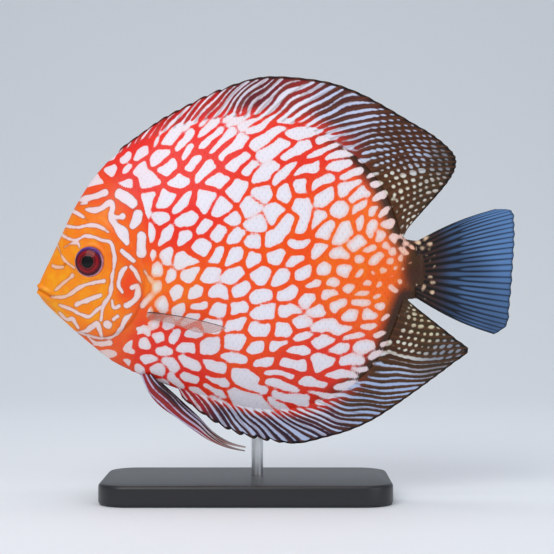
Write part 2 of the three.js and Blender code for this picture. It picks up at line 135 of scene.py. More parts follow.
# The net of red lines and pale cells, worked out on the side view
net = {
    "step": 0.25,  # spacing of the grid it is worked out on
    "low": (-84.0, 8.0),
    "high": (84.0, 146.0),
    "guideReach": 2.0,  # how far a guide holds before the others count
    "guideFall": 1.6,
    "tries": 9000,  # places tried for the middles of the cells
    "apart": 0.72,  # least distance between two middles, as a share of their cells
    "rounds": 3,  # times that the middles even out
    "evening": 0.65,  # how far they even out each time
    "merged": 0.08,  # share of the cells that run into a neighbour
    "wobble": 0.5,
    "wobbleSize": 9,  # sizes of the noises, in steps of the grid
    "unevenSize": 12,
    "grainSize": 3,
    "rounding": 0.5,  # how far the corners of a cell are rounded off
    "uneven": 0.22,  # how much the lines' width varies, broadly and finely
    "grain": 0.1,
    "softness": 0.16,  # of the edge between line and cell
    "seed": 5,
}

# How the cells lie at places on the fish: x, z, lean in degrees, cell size across and along
cellGuides = [
    (-47.5, 113, 55, 4.6, 6.7), (-34, 116.4, 50, 4.8, 8.7), (-20.6, 119.7, 45, 4.6, 12.4),
    (-8.9, 117.4, 40, 4.8, 12.1), (4.5, 119.7, 26, 4.6, 15.1), (17.9, 114, 22, 4.6, 12.1),
    (24.7, 103, 30, 4.6, 8.1), (32, 94.6, 60, 4.2, 7), (-52.5, 103, 30, 5.7, 8.1),
    (-39.1, 103, 20, 6.5, 8.1), (-25.7, 99.6, 45, 7, 8.8), (-8.9, 99.6, 60, 6.8, 8.4),
    (7.9, 99.6, 75, 6.2, 8), (21.3, 89.6, 60, 6, 7.6), (-39.1, 86.2, 70, 5.7, 8.2),
    (-25.7, 82.9, 30, 6.4, 7.8), (-8.9, 82.9, 20, 6.2, 8), (7.9, 81.2, 30, 5.8, 7),
    (21.3, 77.8, 20, 5, 6.2), (33, 77.8, 20, 3.6, 4.5), (40, 76.1, 20, 3.0, 3.6), (45, 76.1, 5, 2.3, 2.6),
    (47, 82, 5, 2.2, 2.6), (47, 70, 5, 2.2, 2.6), (52, 76.1, 5, 2.1, 2.6), (-35.7, 72.8, 80, 5, 6.7),
    (-19, 69.4, 20, 6, 7.6), (1.2, 66.1, 20, 6, 8.6), (17.9, 62.7, 12, 5.4, 8.4),
    (31.4, 61, 15, 4.2, 6.4), (-39.1, 56, 60, 5, 6.4), (-22.3, 52.7, 10, 6.2, 8.2),
    (-5.5, 52.7, 15, 6.2, 9.2), (14.6, 49.3, 15, 5.4, 9.6), (28, 50.7, 12, 4.2, 7.4),
    (-49.1, 49.3, -20, 4, 5.7), (-37.4, 42.6, -30, 4.2, 6), (-25.7, 40.9, -25, 5, 8.4),
    (-12.2, 37.6, -25, 4.6, 11.4), (4.5, 38.9, -10, 4.8, 12.4), (17.9, 38.2, -2, 4.4, 11.7),
]

# The same at the edges of the body, where the cells draw out towards the fins
streakGuides = [
    (-45, 121, 60, 2.6, 10), (-37.4, 125.8, 57, 2.7, 13.4), (-28, 128.6, 54, 2.8, 16),
    (-20.6, 132.2, 49, 2.8, 20), (-7.2, 134.8, 38, 2.8, 24), (-4, 128, 36, 3.2, 18),
    (7.9, 133.8, 18, 2.7, 24), (12, 127.5, 14, 3, 18), (21.3, 130.5, 4, 2.5, 20),
    (34.7, 124.8, -10, 2.4, 16), (30, 118, 2, 2.7, 11), (37, 112, 8, 2.6, 7), (41.4, 117.4, 0, 2.4, 8),
    (51.5, 116.4, -10, 2.3, 9), (44.8, 106.3, 22, 2.5, 4.4), (54.8, 109.7, 15, 2.4, 6),
    (43.1, 97.9, 38, 2.5, 3.5), (49.8, 101.3, 30, 2.4, 4.4), (-31, 34, -52, 2.6, 8),
    (-25.7, 30.9, -48, 2.6, 12), (-13.9, 26.5, -40, 2.7, 18), (1.2, 23.1, -26, 2.7, 22),
    (-2, 27, -28, 3, 16), (14.6, 25.8, -12, 2.6, 22), (28, 30.9, 0, 2.5, 20), (20, 33, -3, 3, 14),
    (41.4, 37.6, 10, 2.4, 16), (36, 44, 4, 2.7, 10), (48.1, 44.3, 8, 2.4, 14), (54.8, 49.3, 4, 2.3, 11),
    (41.4, 51, -8, 2.6, 5), (46.5, 56, -28, 2.4, 3.8), (51.5, 54.3, -20, 2.4, 6),
    (43.1, 62.1, -40, 2.3, 3.2),
]


def cellShape(x, z):
    # lean in radians, size across and size along of the cells at places on the side view
    total = lean2x = lean2z = across = along = 0
    for gx, gz, lean, wide, long in cellGuides + streakGuides:
        weight = 1 / ((x - gx) ** 2 + (z - gz) ** 2 + net["guideReach"] ** 2) ** net["guideFall"]
        lean2x = lean2x + weight * math.cos(2 * math.radians(lean))
        lean2z = lean2z + weight * math.sin(2 * math.radians(lean))
        across = across + weight * wide
        along = along + weight * long
        total = total + weight
    return 0.5 * np.arctan2(lean2z, lean2x), across / total, along / total


def blurred(field, cells):
    reach = int(3 * cells) + 1
    weights = np.exp(-0.5 * (np.arange(-reach, reach + 1) / cells) ** 2)
    weights /= weights.sum()
    for axis in (0, 1):
        pad = [(0, 0), (0, 0)]
        pad[axis] = (reach, reach)
        wide = np.pad(field, pad, mode="edge")
        count = field.shape[axis]
        field = sum(w * np.take(wide, range(i, i + count), axis=axis) for i, w in enumerate(weights))
    return field


def softNoise(shape, cells, chance):
    field = blurred(chance.standard_normal(shape), cells)
    return field / field.std()


def stretchedDistance(dx, dz, lean, across, along):
    c, s = np.cos(lean), np.sin(lean)
    return np.sqrt(((dx * c + dz * s) / along) ** 2 + ((dz * c - dx * s) / across) ** 2)


def cellDistances(seeds, groups, gridX, gridZ):
    # distance to the nearest seed, to the nearest seed of another group, and which seed is nearest
    lean, across, along = cellShape(seeds[:, 0], seeds[:, 1])
    first = np.full(gridX.shape, 9.0)
    second = np.full(gridX.shape, 9.0)
    own = np.zeros(gridX.shape, int)

    def window(k):
        reach = 1.9 * along[k]
        rows, columns = (
            slice(
                max(int((seeds[k, axis] - reach - net["low"][axis]) / net["step"]), 0),
                int((seeds[k, axis] + reach - net["low"][axis]) / net["step"]) + 2,
            )
            for axis in (1, 0)
        )
        dx, dz = gridX[rows, columns] - seeds[k, 0], gridZ[rows, columns] - seeds[k, 1]
        return (rows, columns), stretchedDistance(dx, dz, lean[k], across[k], along[k])

    for k in range(len(seeds)):
        where, d = window(k)
        own[where] = np.where(d < first[where], k, own[where])
        first[where] = np.minimum(first[where], d)
    for k in range(len(seeds)):
        where, d = window(k)
        other = groups[own[where]] != groups[k]
        second[where] = np.where(other, np.minimum(second[where], d), second[where])
    return first, second, own


def scatterSeeds(gridX, gridZ, chance):
    # seeds no nearer to each other than the cells there allow
    pick = chance.choice(gridX.size, net["tries"], replace=False)
    x, z = gridX.ravel()[pick], gridZ.ravel()[pick]
    lean, across, along = cellShape(x, z)
    kept = np.empty((0, 2))
    for k in range(len(pick)):
        gaps = stretchedDistance(kept[:, 0] - x[k], kept[:, 1] - z[k], lean[k], across[k], along[k])
        if gaps.size == 0 or gaps.min() > net["apart"]:
            kept = np.vstack([kept, (x[k], z[k])])
    return kept


def makeNet():
    chance = np.random.default_rng(net["seed"])
    xs, zs = (np.arange(net["low"][k], net["high"][k], net["step"]) for k in (0, 1))
    gridX, gridZ = np.meshgrid(xs, zs)
    seeds = scatterSeeds(gridX, gridZ, chance)
    groups = np.arange(len(seeds))
    for _ in range(net["rounds"]):  # the seeds even out
        _, _, own = cellDistances(seeds, groups, gridX, gridZ)
        count = np.maximum(np.bincount(own.ravel(), minlength=len(seeds)), 1)
        middles = [np.bincount(own.ravel(), g.ravel(), len(seeds)) / count for g in (gridX, gridZ)]
        seeds = seeds + net["evening"] * (np.stack(middles, 1) - seeds)
    lean, across, along = cellShape(seeds[:, 0], seeds[:, 1])
    for k in np.flatnonzero(chance.random(len(seeds)) < net["merged"]):
        dx, dz = (seeds - seeds[k]).T
        gaps = stretchedDistance(dx, dz, lean[k], across[k], along[k])
        gaps[k] = 9
        groups[k] = groups[np.argmin(gaps)]
    wobbleX, wobbleZ = (net["wobble"] * softNoise(gridX.shape, net["wobbleSize"], chance) for _ in (0, 1))
    first, second, own = cellDistances(seeds, groups, gridX + wobbleX, gridZ + wobbleZ)
    width = across[own]
    gap = np.minimum(second, 4) - np.minimum(first, 4)
    slopeZ, slopeX = np.gradient(gap, net["step"])
    toLine = np.minimum(gap / np.maximum(np.hypot(slopeX, slopeZ), 0.05), 0.6 * width)
    toLine = blurred(toLine, net["rounding"] / net["step"])
    uneven = softNoise(gridX.shape, net["unevenSize"], chance)
    grain = softNoise(gridX.shape, net["grainSize"], chance)
    return {"toLine": toLine, "width": blurred(width, 4), "uneven": uneven, "grain": grain}


def sampled(name, x, z):
    # one of the net's fields, read at places on the side view
    return readGrid(netFields[name], (z - net["low"][1]) / net["step"], (x - net["low"][0]) / net["step"])


netFields = makeNet()
print("net of lines and cells made")

# Pale stripes on the orange head, along listed lines: x, z, half of the width
headStripes = {
    "browFront": [(-68, 95.8, 0.75), (-65.4, 94.5, 0.5), (-62.7, 92.8, 0.2)],
    "browMiddle": [(-70.7, 91, 0.5), (-66.5, 90.3, 0.42), (-62, 91, 0.45), (-58.6, 90.5, 0.55),
        (-55.4, 88.6, 0.25)],
    "overEye": [(-71.9, 88, 0.5), (-68.7, 86.4, 0.4), (-65.9, 86.2, 0.3), (-63.7, 87.4, 0.45),
        (-60.3, 86.9, 0.36), (-57.5, 85.9, 0.4), (-54.8, 85.2, 0.6), (-53.7, 82.9, 0.62),
        (-53.3, 78.9, 0.5), (-54.2, 73.9, 0.38), (-54.8, 68.3, 0.6), (-57.2, 64.4, 0.55),
        (-58.1, 59.7, 0.3)],
    "crown": [(-63.4, 96.4, 0.3), (-60.8, 96, 1), (-58.1, 96.7, 0.75), (-55.3, 98.3, 1),
        (-54.3, 97.2, 0.8), (-54.6, 94.6, 0.8), (-54.3, 92.4, 0.9), (-52.2, 90.2, 1.2), (-50.5, 88.2, 1.7),
        (-49.1, 84.8, 0.6)],
    "forehead": [(-66.5, 99.4, 0.3), (-64.2, 100, 0.8), (-60.4, 100.6, 0.9), (-57, 101.9, 1.1)],
    "foreheadLow": [(-65.6, 98.2, 0.3), (-63.4, 98.5, 0.35)],
    "napeCell": [(-52.2, 101.4, 1.5), (-49.6, 100, 1.8), (-47.4, 98.2, 1.5)],
    "templeCell": [(-45.6, 94.4, 1.5), (-46.2, 92.6, 1.6), (-47.2, 90.7, 1.0)],
    "shoulderCell": [(-44.3, 87.2, 1.5), (-44.6, 84.5, 1.35), (-44.2, 81.7, 1.5)],
    "crownBump": [(-54.3, 93.8, 0.8), (-52.2, 93.5, 0.5), (-50.7, 93.8, 0.95)],
    "temple": [(-50.8, 82.4, 0.6), (-49, 80.9, 0.7), (-46.6, 79.2, 0.4)],
    "templeLow": [(-48.5, 79.9, 0.3), (-46.9, 78.9, 0.35)],
    "snoutUpper": [(-74.3, 86.2, 0.3), (-72.5, 82.9, 0.3), (-71.2, 80.5, 0.25), (-69.3, 78.4, 0.3),
        (-66.8, 76.8, 0.15)],
    "snoutMiddle": [(-74.7, 77.7, 0.25), (-73.2, 77.1, 0.5), (-71.2, 77.1, 0.3)],
    "browVein": [(-70.5, 83.7, 0.2), (-68, 85, 0.25), (-65.9, 85, 0.3), (-65.2, 83.4, 0.15)],
    "cheekUpper": [(-73.7, 69.3, 0.3), (-70.7, 71.7, 0.45), (-67.7, 74.2, 0.5)],
    "cheekMiddle": [(-75.4, 67.2, 0.25), (-70.9, 67.2, 0.45), (-67.9, 68.5, 0.5), (-65.4, 70.3, 0.5),
        (-62, 71.6, 0.5), (-57, 72.5, 0.5)],
    "cheekLower": [(-66.5, 64.6, 0.55), (-63.1, 66.1, 0.62), (-58.1, 67.8, 0.5)],
    "jaw": [(-72.3, 64.4, 0.4), (-68.4, 63, 0.4), (-65.4, 61.6, 0.4), (-62.3, 60.7, 0.45),
        (-60.3, 62.1, 0.4), (-58.1, 63.8, 0.35)],
    "gillFront": [(-49.3, 77, 0.3), (-50.7, 75.6, 0.7), (-51.8, 72.8, 0.55), (-52, 70.8, 0.6),
        (-50.7, 68.8, 0.35)],
    "gillTop": [(-47.9, 77.3, 0.55), (-46.2, 75.3, 0.6), (-44.4, 72.1, 0.45)],
    "gillRear": [(-47.4, 70.4, 0.5), (-45.6, 71, 0.5), (-45.3, 68.9, 0.75), (-46.3, 66.5, 0.85),
        (-49.4, 64.4, 0.8)],
    "gillSpot": [(-54.3, 66.1, 0.5), (-53.8, 63.8, 0.65), (-52, 64.2, 0.5)],
    "gillDot": [(-53.9, 60, 0.45), (-52.5, 60.9, 0.5)],
    "gillDotLow": [(-56, 58.3, 1.15), (-55.6, 57.9, 1.15)],
    "jawFront": [(-72.6, 61.7, 0.4), (-70.1, 59.7, 0.4), (-68, 59.9, 0.55), (-65.9, 57, 0.35)],
    "jawRear": [(-65.9, 55.5, 0.3), (-63.1, 56.2, 0.6), (-59.7, 58.3, 0.8), (-58.6, 56.5, 0.7),
        (-58, 54.2, 0.4)],
    "gillHem": [(-68, 55.9, 0.25), (-63.1, 54.2, 0.3), (-58.6, 53.3, 0.3), (-54.7, 53.8, 0.3),
        (-51.8, 56.3, 0.55), (-49.7, 59.9, 0.75), (-47.7, 61.7, 0.25)],
    "throat": [(-63.1, 53.8, 0.2), (-60.3, 51.5, 0.6), (-55.6, 51.8, 0.8)],
    "gillVeil": [(-43.5, 76.1, 0.25), (-41.4, 72.8, 0.7), (-38.5, 70.3, 0.5)],
    "gillVeilLow": [(-44.1, 64.4, 0.9), (-41.6, 67.2, 1.2), (-41, 68, 0.7)],
    "baseVeil": [(-45.8, 56.6, 0.7), (-43.3, 56.3, 1.3), (-42.4, 54.9, 0.7)],
}
stripeEdge = {"broader": 0.12, "uneven": 0.10}  # what every stripe gains, and how its edge varies
headEdge = curveThrough([
    (-72, 99.5), (-67, 102.5), (-60, 104.2), (-52, 104.2), (-45.6, 100), (-42.9, 94), (-41.9, 86),
    (-41.4, 78.8), (-41.2, 71.1), (-42.6, 62.7), (-45.8, 56), (-52.5, 50.6), (-60.9, 51.6), (-68, 48),
], 6)


def headShare(x, z):
    # 1 on the striped head, 0 on the netted body
    d, side = distanceTo(headEdge, x, z)
    return smooth(-0.5, 0.5, -d * side)


def stripeValue(x, z):
    # above zero on a stripe, in millimetres from its edge
    best = np.full(np.shape(x), -9.0)
    for points in headStripes.values():
        line = curveThrough(points, 5)
        for a, b in zip(line[:-1], line[1:]):
            t, d = toSegment(a, b, x, z)
            best = np.maximum(best, a[2] + t * (b[2] - a[2]) - d)
    return best + stripeEdge["broader"] + stripeEdge["uneven"] * sampled("grain", x, z)


# Colours of the lines and cells at named places: x, z, reach, line colour, cell colour
bodyTints = {
    "snout": (-73, 74, 9, (0.94, 0.27, 0.004), (0.86, 0.50, 0.34)),
    "cheek": (-60, 66, 9, (0.96, 0.25, 0.003), (0.85, 0.68, 0.68)),
    "gillCover": (-49, 70, 4.6, (0.88, 0.035, 0.006), (0.84, 0.74, 0.78)),
    "gillOpening": (-41, 71, 3.4, (0.94, 0.20, 0.005), (0.88, 0.68, 0.44)),
    "brow": (-62, 92, 7, (0.94, 0.20, 0.006), (0.86, 0.68, 0.72)),
    "forehead": (-61, 102, 6, (0.88, 0.07, 0.015), (0.86, 0.70, 0.74)),
    "temple": (-49, 88, 5, (0.94, 0.12, 0.006), (0.85, 0.78, 0.84)),
    "nape": (-47, 112, 9, (0.80, 0.018, 0.012), (0.84, 0.72, 0.80)),
    "frontBack": (-24, 120, 14, (0.82, 0.016, 0.012), (0.84, 0.78, 0.85)),
    "back": (6, 121, 12, (0.82, 0.030, 0.014), (0.84, 0.80, 0.87)),
    "shoulder": (-30, 98, 13, (0.86, 0.020, 0.010), (0.84, 0.80, 0.88)),
    "behindGill": (-33, 70, 8, (0.94, 0.12, 0.004), (0.85, 0.78, 0.80)),
    "flank": (0, 82, 15, (0.93, 0.075, 0.003), (0.83, 0.80, 0.88)),
    "lowerFlank": (-8, 60, 14, (0.92, 0.070, 0.006), (0.84, 0.81, 0.89)),
    "rearFlank": (27, 76, 13, (0.95, 0.125, 0.003), (0.85, 0.76, 0.78)),
    "tailRoot": (36.5, 77, 4.5, (0.93, 0.12, 0.004), (0.84, 0.68, 0.58)),
    "tailBase": (47, 76, 5.4, (0.050, 0.014, 0.006), (0.66, 0.42, 0.28)),
    "belly": (-36, 46, 12, (0.84, 0.024, 0.014), (0.86, 0.80, 0.86)),
    "throat": (-58, 48, 8, (0.90, 0.10, 0.02), (0.88, 0.66, 0.62)),
    "lowerBack": (12, 42, 14, (0.80, 0.030, 0.014), (0.84, 0.80, 0.88)),
}
dorsalTints = {
    "frontRoot": (-44, 118, 8, (0.74, 0.012, 0.012), (0.86, 0.76, 0.84)),
    "front": (-30, 130, 9, (0.55, 0.008, 0.010), (0.84, 0.74, 0.82)),
    "crest": (-6, 137, 8, (0.12, 0.008, 0.016), (0.66, 0.60, 0.70)),
    "middleRoot": (4, 129, 8, (0.34, 0.020, 0.018), (0.82, 0.80, 0.90)),
    "middle": (22, 128, 9, (0.080, 0.018, 0.014), (0.54, 0.60, 0.80)),
    "rear": (42, 118, 8, (0.058, 0.017, 0.006), (0.42, 0.50, 0.68)),
    "rearTip": (57, 113, 5, (0.035, 0.018, 0.010), (0.16, 0.17, 0.20)),
    "rearRoot": (40, 104, 6, (0.070, 0.022, 0.004), (0.74, 0.70, 0.56)),
    "rearEdge": (52, 102, 6, (0.050, 0.026, 0.010), (0.58, 0.56, 0.50)),
}
analTints = {
    "frontRoot": (-30, 35, 8, (0.40, 0.012, 0.018), (0.82, 0.68, 0.76)),
    "front": (-16, 25, 8, (0.035, 0.008, 0.024), (0.50, 0.56, 0.76)),
    "middle": (6, 22, 9, (0.020, 0.010, 0.028), (0.46, 0.54, 0.78)),
    "middleRoot": (8, 30, 7, (0.13, 0.014, 0.024), (0.76, 0.76, 0.88)),
    "rear": (34, 36, 9, (0.058, 0.024, 0.008), (0.36, 0.46, 0.70)),
    "rearTip": (58, 48, 7, (0.040, 0.024, 0.014), (0.22, 0.24, 0.30)),
    "rearRoot": (40, 53, 6, (0.050, 0.016, 0.004), (0.72, 0.68, 0.58)),
    "rearEdge": (50, 57, 6, (0.050, 0.025, 0.008), (0.66, 0.60, 0.40)),
}


def blendTints(tints, x, z):
    # the line and cell colours at places, each named tint weighing by its nearness
    total = 0
    colours = [0, 0]
    for tx, tz, reach, *pair in tints.values():
        weight = 1 / (1 + ((x - tx) ** 2 + (z - tz) ** 2) / reach**2) ** 3
        total = total + weight
        for k in (0, 1):
            colours[k] = colours[k] + weight[:, None] * np.array(pair[k])
    return [c / total[:, None] for c in colours]


def netValue(x, z, halfLine):
    # above zero on a cell, below on a line, in millimetres from the edge between them
    varied = 1 + sum(net[name] * sampled(name, x, z) for name in ("uneven", "grain"))
    return sampled("toLine", x, z) - halfLine * varied


# Half of a line's width on the body, and what it gains or loses at some places
halfLines = {"base": 0.80, "front": 0.24, "low": 0.10, "small": 0.24, "rim": -0.10}


def bodyHalfLine(x, z):
    # lines are broadest over the front of the back and where the cells shrink to dots
    top, bottom, _ = profileAt(x)
    rim = smooth(0.72, 0.98, np.abs(2 * z - top - bottom) / (top - bottom)) * smooth(-42, -25, x)
    shares = {
        "front": smooth(-15, -45, x) * smooth(80, 110, z),
        "low": smooth(62, 46, z) * smooth(-10, -30, x),
        "small": smooth(4.2, 3.0, sampled("width", x, z)) * (1 - rim),
        "rim": rim,
    }
    return halfLines["base"] + sum(halfLines[name] * share for name, share in shares.items())


rearEdges = [profile[profile[:, 0] > 0][:, [0, k]] for k in (1, 2)]  # the body's back and belly lines


def rearRim(x, z):
    # 1 where the rear half of the body meets its fins, 0 a few millimetres in
    gap = np.minimum(*(distanceTo(edge, x, z)[0] for edge in rearEdges))
    return smooth(7.5, 2.2, gap) * smooth(6, 26, x)


# Materials
class Wire:
    # a socket that sums can be written on
    def __init__(self, paint, socket):
        self.paint = paint
        self.socket = socket

    def maths(self, operation, a, b=0.0):
        return self.paint.node("ShaderNodeMath", {"operation": operation}, {0: a, 1: b})

    def __add__(self, other):
        return self.maths("ADD", self, other)

    __radd__ = __add__

    def __sub__(self, other):
        return self.maths("SUBTRACT", self, other)

    def __rsub__(self, other):
        return self.maths("SUBTRACT", other, self)

    def __mul__(self, other):
        return self.maths("MULTIPLY", self, other)

    __rmul__ = __mul__

    def __truediv__(self, other):
        return self.maths("DIVIDE", self, other)


class Paint:
    # one material, its nodes, and the values that are even all over it
    def __init__(self, name, even):
        self.material = bpy.data.materials.new(name)
        self.material.use_nodes = True
        self.tree = self.material.node_tree
        self.shader = self.tree.nodes["Principled BSDF"]
        for socket, value in even.items():
            self.shader.inputs[socket].default_value = value

    def node(self, kind, settings, sockets, output=0):
        made = self.tree.nodes.new(kind)
        for key, value in settings.items():
            if key == "stops":
                for place, _ in value[1:-1]:
                    made.color_ramp.elements.new(place)
                for element, (place, colour) in zip(made.color_ramp.elements, value):
                    element.position = place
                    element.color = (*colour, 1)
            else:
                setattr(made, key, value)
        for key, value in sockets.items():
            self.feed(made.inputs[key], value)
        return Wire(self, made.outputs[output])

    def feed(self, socket, value):
        if isinstance(value, Wire):
            self.tree.links.new(value.socket, socket)
        else:
            socket.default_value = value

    def attribute(self, name, output="Color"):
        return self.node("ShaderNodeAttribute", {"attribute_name": name}, {}, output)

    def place(self):
        return self.node("ShaderNodeTexCoord", {}, {}, "Object")

    def noise(self, size, detail=2.0, roughness=0.5):
        sockets = {"Vector": self.place(), "Scale": 1 / size, "Detail": detail, "Roughness": roughness}
        return self.node("ShaderNodeTexNoise", {}, sockets, "Fac")

    def step(self, value, low, high, toLow=0.0, toHigh=1.0):
        sockets = {"Value": value, "From Min": low, "From Max": high, "To Min": toLow, "To Max": toHigh}
        return self.node("ShaderNodeMapRange", {"interpolation_type": "SMOOTHSTEP"}, sockets)

    def mixed(self, factor, a, b, blend="MIX"):
        settings = {"data_type": "RGBA", "blend_type": blend}
        a, b = ((*c, 1) if isinstance(c, tuple) and len(c) == 3 else c for c in (a, b))
        return self.node("ShaderNodeMix", settings, {0: factor, 6: a, 7: b}, 2)

    def set(self, socket, value):
        self.feed(self.shader.inputs[socket], value)


wet = {"Specular IOR Level": 0.22, "Coat Roughness": 0.14}  # the shine of wet skin


# Objects
def startPiece(name, add, **settings):
    # a primitive, added with nothing else selected
    bpy.ops.object.select_all(action="DESELECT")
    add(**settings)
    made = bpy.context.object
    made.name = made.data.name = name
    return made


def shapeWith(piece, kind, **settings):
    # a modifier, set and applied
    made = piece.modifiers.new(kind, kind)
    for key, value in settings.items():
        setattr(made, key, value)
    bpy.ops.object.modifier_apply(modifier=made.name)


def pickEdges(piece, wanted):
    # opens edit mode with only the wanted edges selected
    bpy.ops.object.mode_set(mode="EDIT")
    bpy.ops.mesh.select_mode(type="EDGE")
    bpy.ops.mesh.select_all(action="DESELECT")
    bpy.ops.object.mode_set(mode="OBJECT")
    for edge in piece.data.edges:
        edge.select = wanted(*(piece.data.vertices[k].co for k in edge.vertices))
    bpy.ops.object.mode_set(mode="EDIT")


def readPoints(piece):
    points = np.empty(len(piece.data.vertices) * 3)
    piece.data.vertices.foreach_get("co", points)
    return points.reshape(-1, 3)


def writePoints(piece, points):
    # from millimetres
    piece.data.vertices.foreach_set("co", np.ascontiguousarray(points * mm, np.float32).ravel())
    piece.data.update()


def readNormals(piece):
    normals = np.empty(len(piece.data.vertices) * 3, np.float32)
    piece.data.vertex_normals.foreach_get("vector", normals)
    return normals.reshape(-1, 3).astype(float)


def keep(piece, **fields):
    # stores numbers or colours on the vertices for the materials
    for name, values in fields.items():
        colour = np.ndim(values) == 2
        made = piece.data.attributes.new(name, "FLOAT_COLOR" if colour else "FLOAT", "POINT")
        if colour:
            values = np.hstack([values, np.ones((len(values), 1))])
        flat = np.ascontiguousarray(values, np.float32).ravel()
        made.data.foreach_set("color" if colour else "value", flat)


def outwards(piece):
    bpy.ops.object.select_all(action="DESELECT")
    piece.select_set(True)
    bpy.context.view_layer.objects.active = piece
    bpy.ops.object.mode_set(mode="EDIT")
    bpy.ops.mesh.select_all(action="SELECT")
    bpy.ops.mesh.normals_make_consistent(inside=False)
    bpy.ops.object.mode_set(mode="OBJECT")


def finishPiece(piece, material, slot, *nodes):
    piece.data.materials.clear()
    piece.data.materials.append(material)
    for polygon in piece.data.polygons:
        polygon.use_smooth = True
    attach(piece, "root")
    if nodes:
        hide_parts(*nodes)
    return piece


bothSides = ((-1, "left"), (1, "right"))  # the left flank faces -Y

# The one skin over head, trunk and tail root
skinShape = {
    "segments": 256,
    "rings": 300,
    "headShare": 0.44,  # share of the rings that lie in front of the gill opening
    "headEnd": -42.0,
    "closer": 1.15,  # how much closer the rings stand towards the snout
    "sunk": 0.12,  # how far it lies inside the part's flesh, under the scales
    "wedge": 0.03,  # share of the rings that taper into the tail fin
    "wedgeLong": 3.4,
    "wedgeLower": 0.04,  # how much lower the wedge gets
    "sectionPlaces": 241,  # places from the belly to the back where a section is worked out
}
# Plates with a free edge: height, rise and fall in from the edge, and the groove along it
plates = {
    "gillCover": {
        "high": 0.62, "rise": (-0.15, 0.25), "fall": (2.5, 11), "groove": (0.22, -0.35, 0.35),
        "edge": [(-50.4, 86.8), (-46.6, 83.4), (-44.3, 79.2), (-43.3, 74.5), (-43.7, 70.8), (-45.4, 63.6),
                 (-49, 58), (-53.6, 54.9), (-58.3, 53.8), (-63.4, 55)],
    },
    "cheek": {
        "high": 0.16, "rise": (-0.1, 0.3), "fall": (0.5, 6), "groove": (0.14, 0, 0.3),
        "edge": [(-54.4, 85), (-53.3, 79), (-54.2, 70.8), (-57.5, 63.4), (-60.4, 58.6)],
    },
}
mouth = {"x": -80.0, "z": 69.9, "cornerX": -75.4, "cornerZ": 67.2, "lips": 0.62, "slit": 0.75}
nostril = {"x": -70.4, "z": 77.8, "radius": 1.0, "rim": 0.28, "pit": 0.75}
eye = {
    "x": -61.7, "z": 78.8, "radius": 5.6, "proud": 1.7, "depth": 3.2, "cheekTurn": 0.22,
    "shown": 4.95,  # radius of the opening in the skin
    "rim": 0.42,
    "socket": 2.6,
}


def sectionTable(x):
    # one flank's section at x, from the belly to the back: the run along the skin, y and z
    top, bottom, wide = profileAt(x)
    s = -np.cos(np.linspace(0, math.pi, skinShape["sectionPlaces"]))
    y = wide * flankShape(s, x)
    z = (top + bottom) / 2 + s * (top - bottom) / 2
    run = np.concatenate([[0], np.cumsum(np.hypot(np.diff(y), np.diff(z)))])
    return run, y, z


def ringPlace(w):
    # x of a ring, closer together on the head, and how far it has tapered into the tail fin
    share, end, wedge = (skinShape[name] for name in ("headShare", "headEnd", "wedge"))
    snout, root = profile[[0, -1], 0]
    if w < share:
        return snout + (end - snout) * (w / share) ** skinShape["closer"], 0
    body = (w - share) / (1 - wedge - share)
    taper = max((w - 1 + wedge) / wedge, 0)
    return end + (root - end) * min(body, 1) + skinShape["wedgeLong"] * taper, taper


def makeSkin():
    rings = skinShape["rings"]
    skin = startPiece("skin", bpy.ops.mesh.primitive_uv_sphere_add, segments=skinShape["segments"],
                      ring_count=rings, radius=1)
    ball = readPoints(skin)
    ring = np.rint(np.arccos(np.clip(ball[:, 2], -1, 1)) / math.pi * rings).astype(int)
    turn = np.arctan2(ball[:, 1], ball[:, 0]) % (2 * math.pi)
    points = np.zeros_like(ball)
    for k in range(rings + 1):
        here = ring == k
        x, taper = ringPlace(k / rings)
        run, y, z = sectionTable(max(x, profile[0, 0] + 0.03))  # the very tip has no section
        q = np.minimum(turn[here], 2 * math.pi - turn[here]) / math.pi * run[-1]
        side = np.where(turn[here] < math.pi, -1, 1)
        middle = (z[0] + z[-1]) / 2
        thin, tall = (0, 0) if k in (0, rings) else (1 - taper, 1 - skinShape["wedgeLower"] * taper)
        points[here, 0] = x
        points[here, 1] = side * np.interp(q, run, y) * thin
        points[here, 2] = middle + (np.interp(q, run, z) - middle) * tall
    writePoints(skin, points)
    outwards(skin)
    return skin


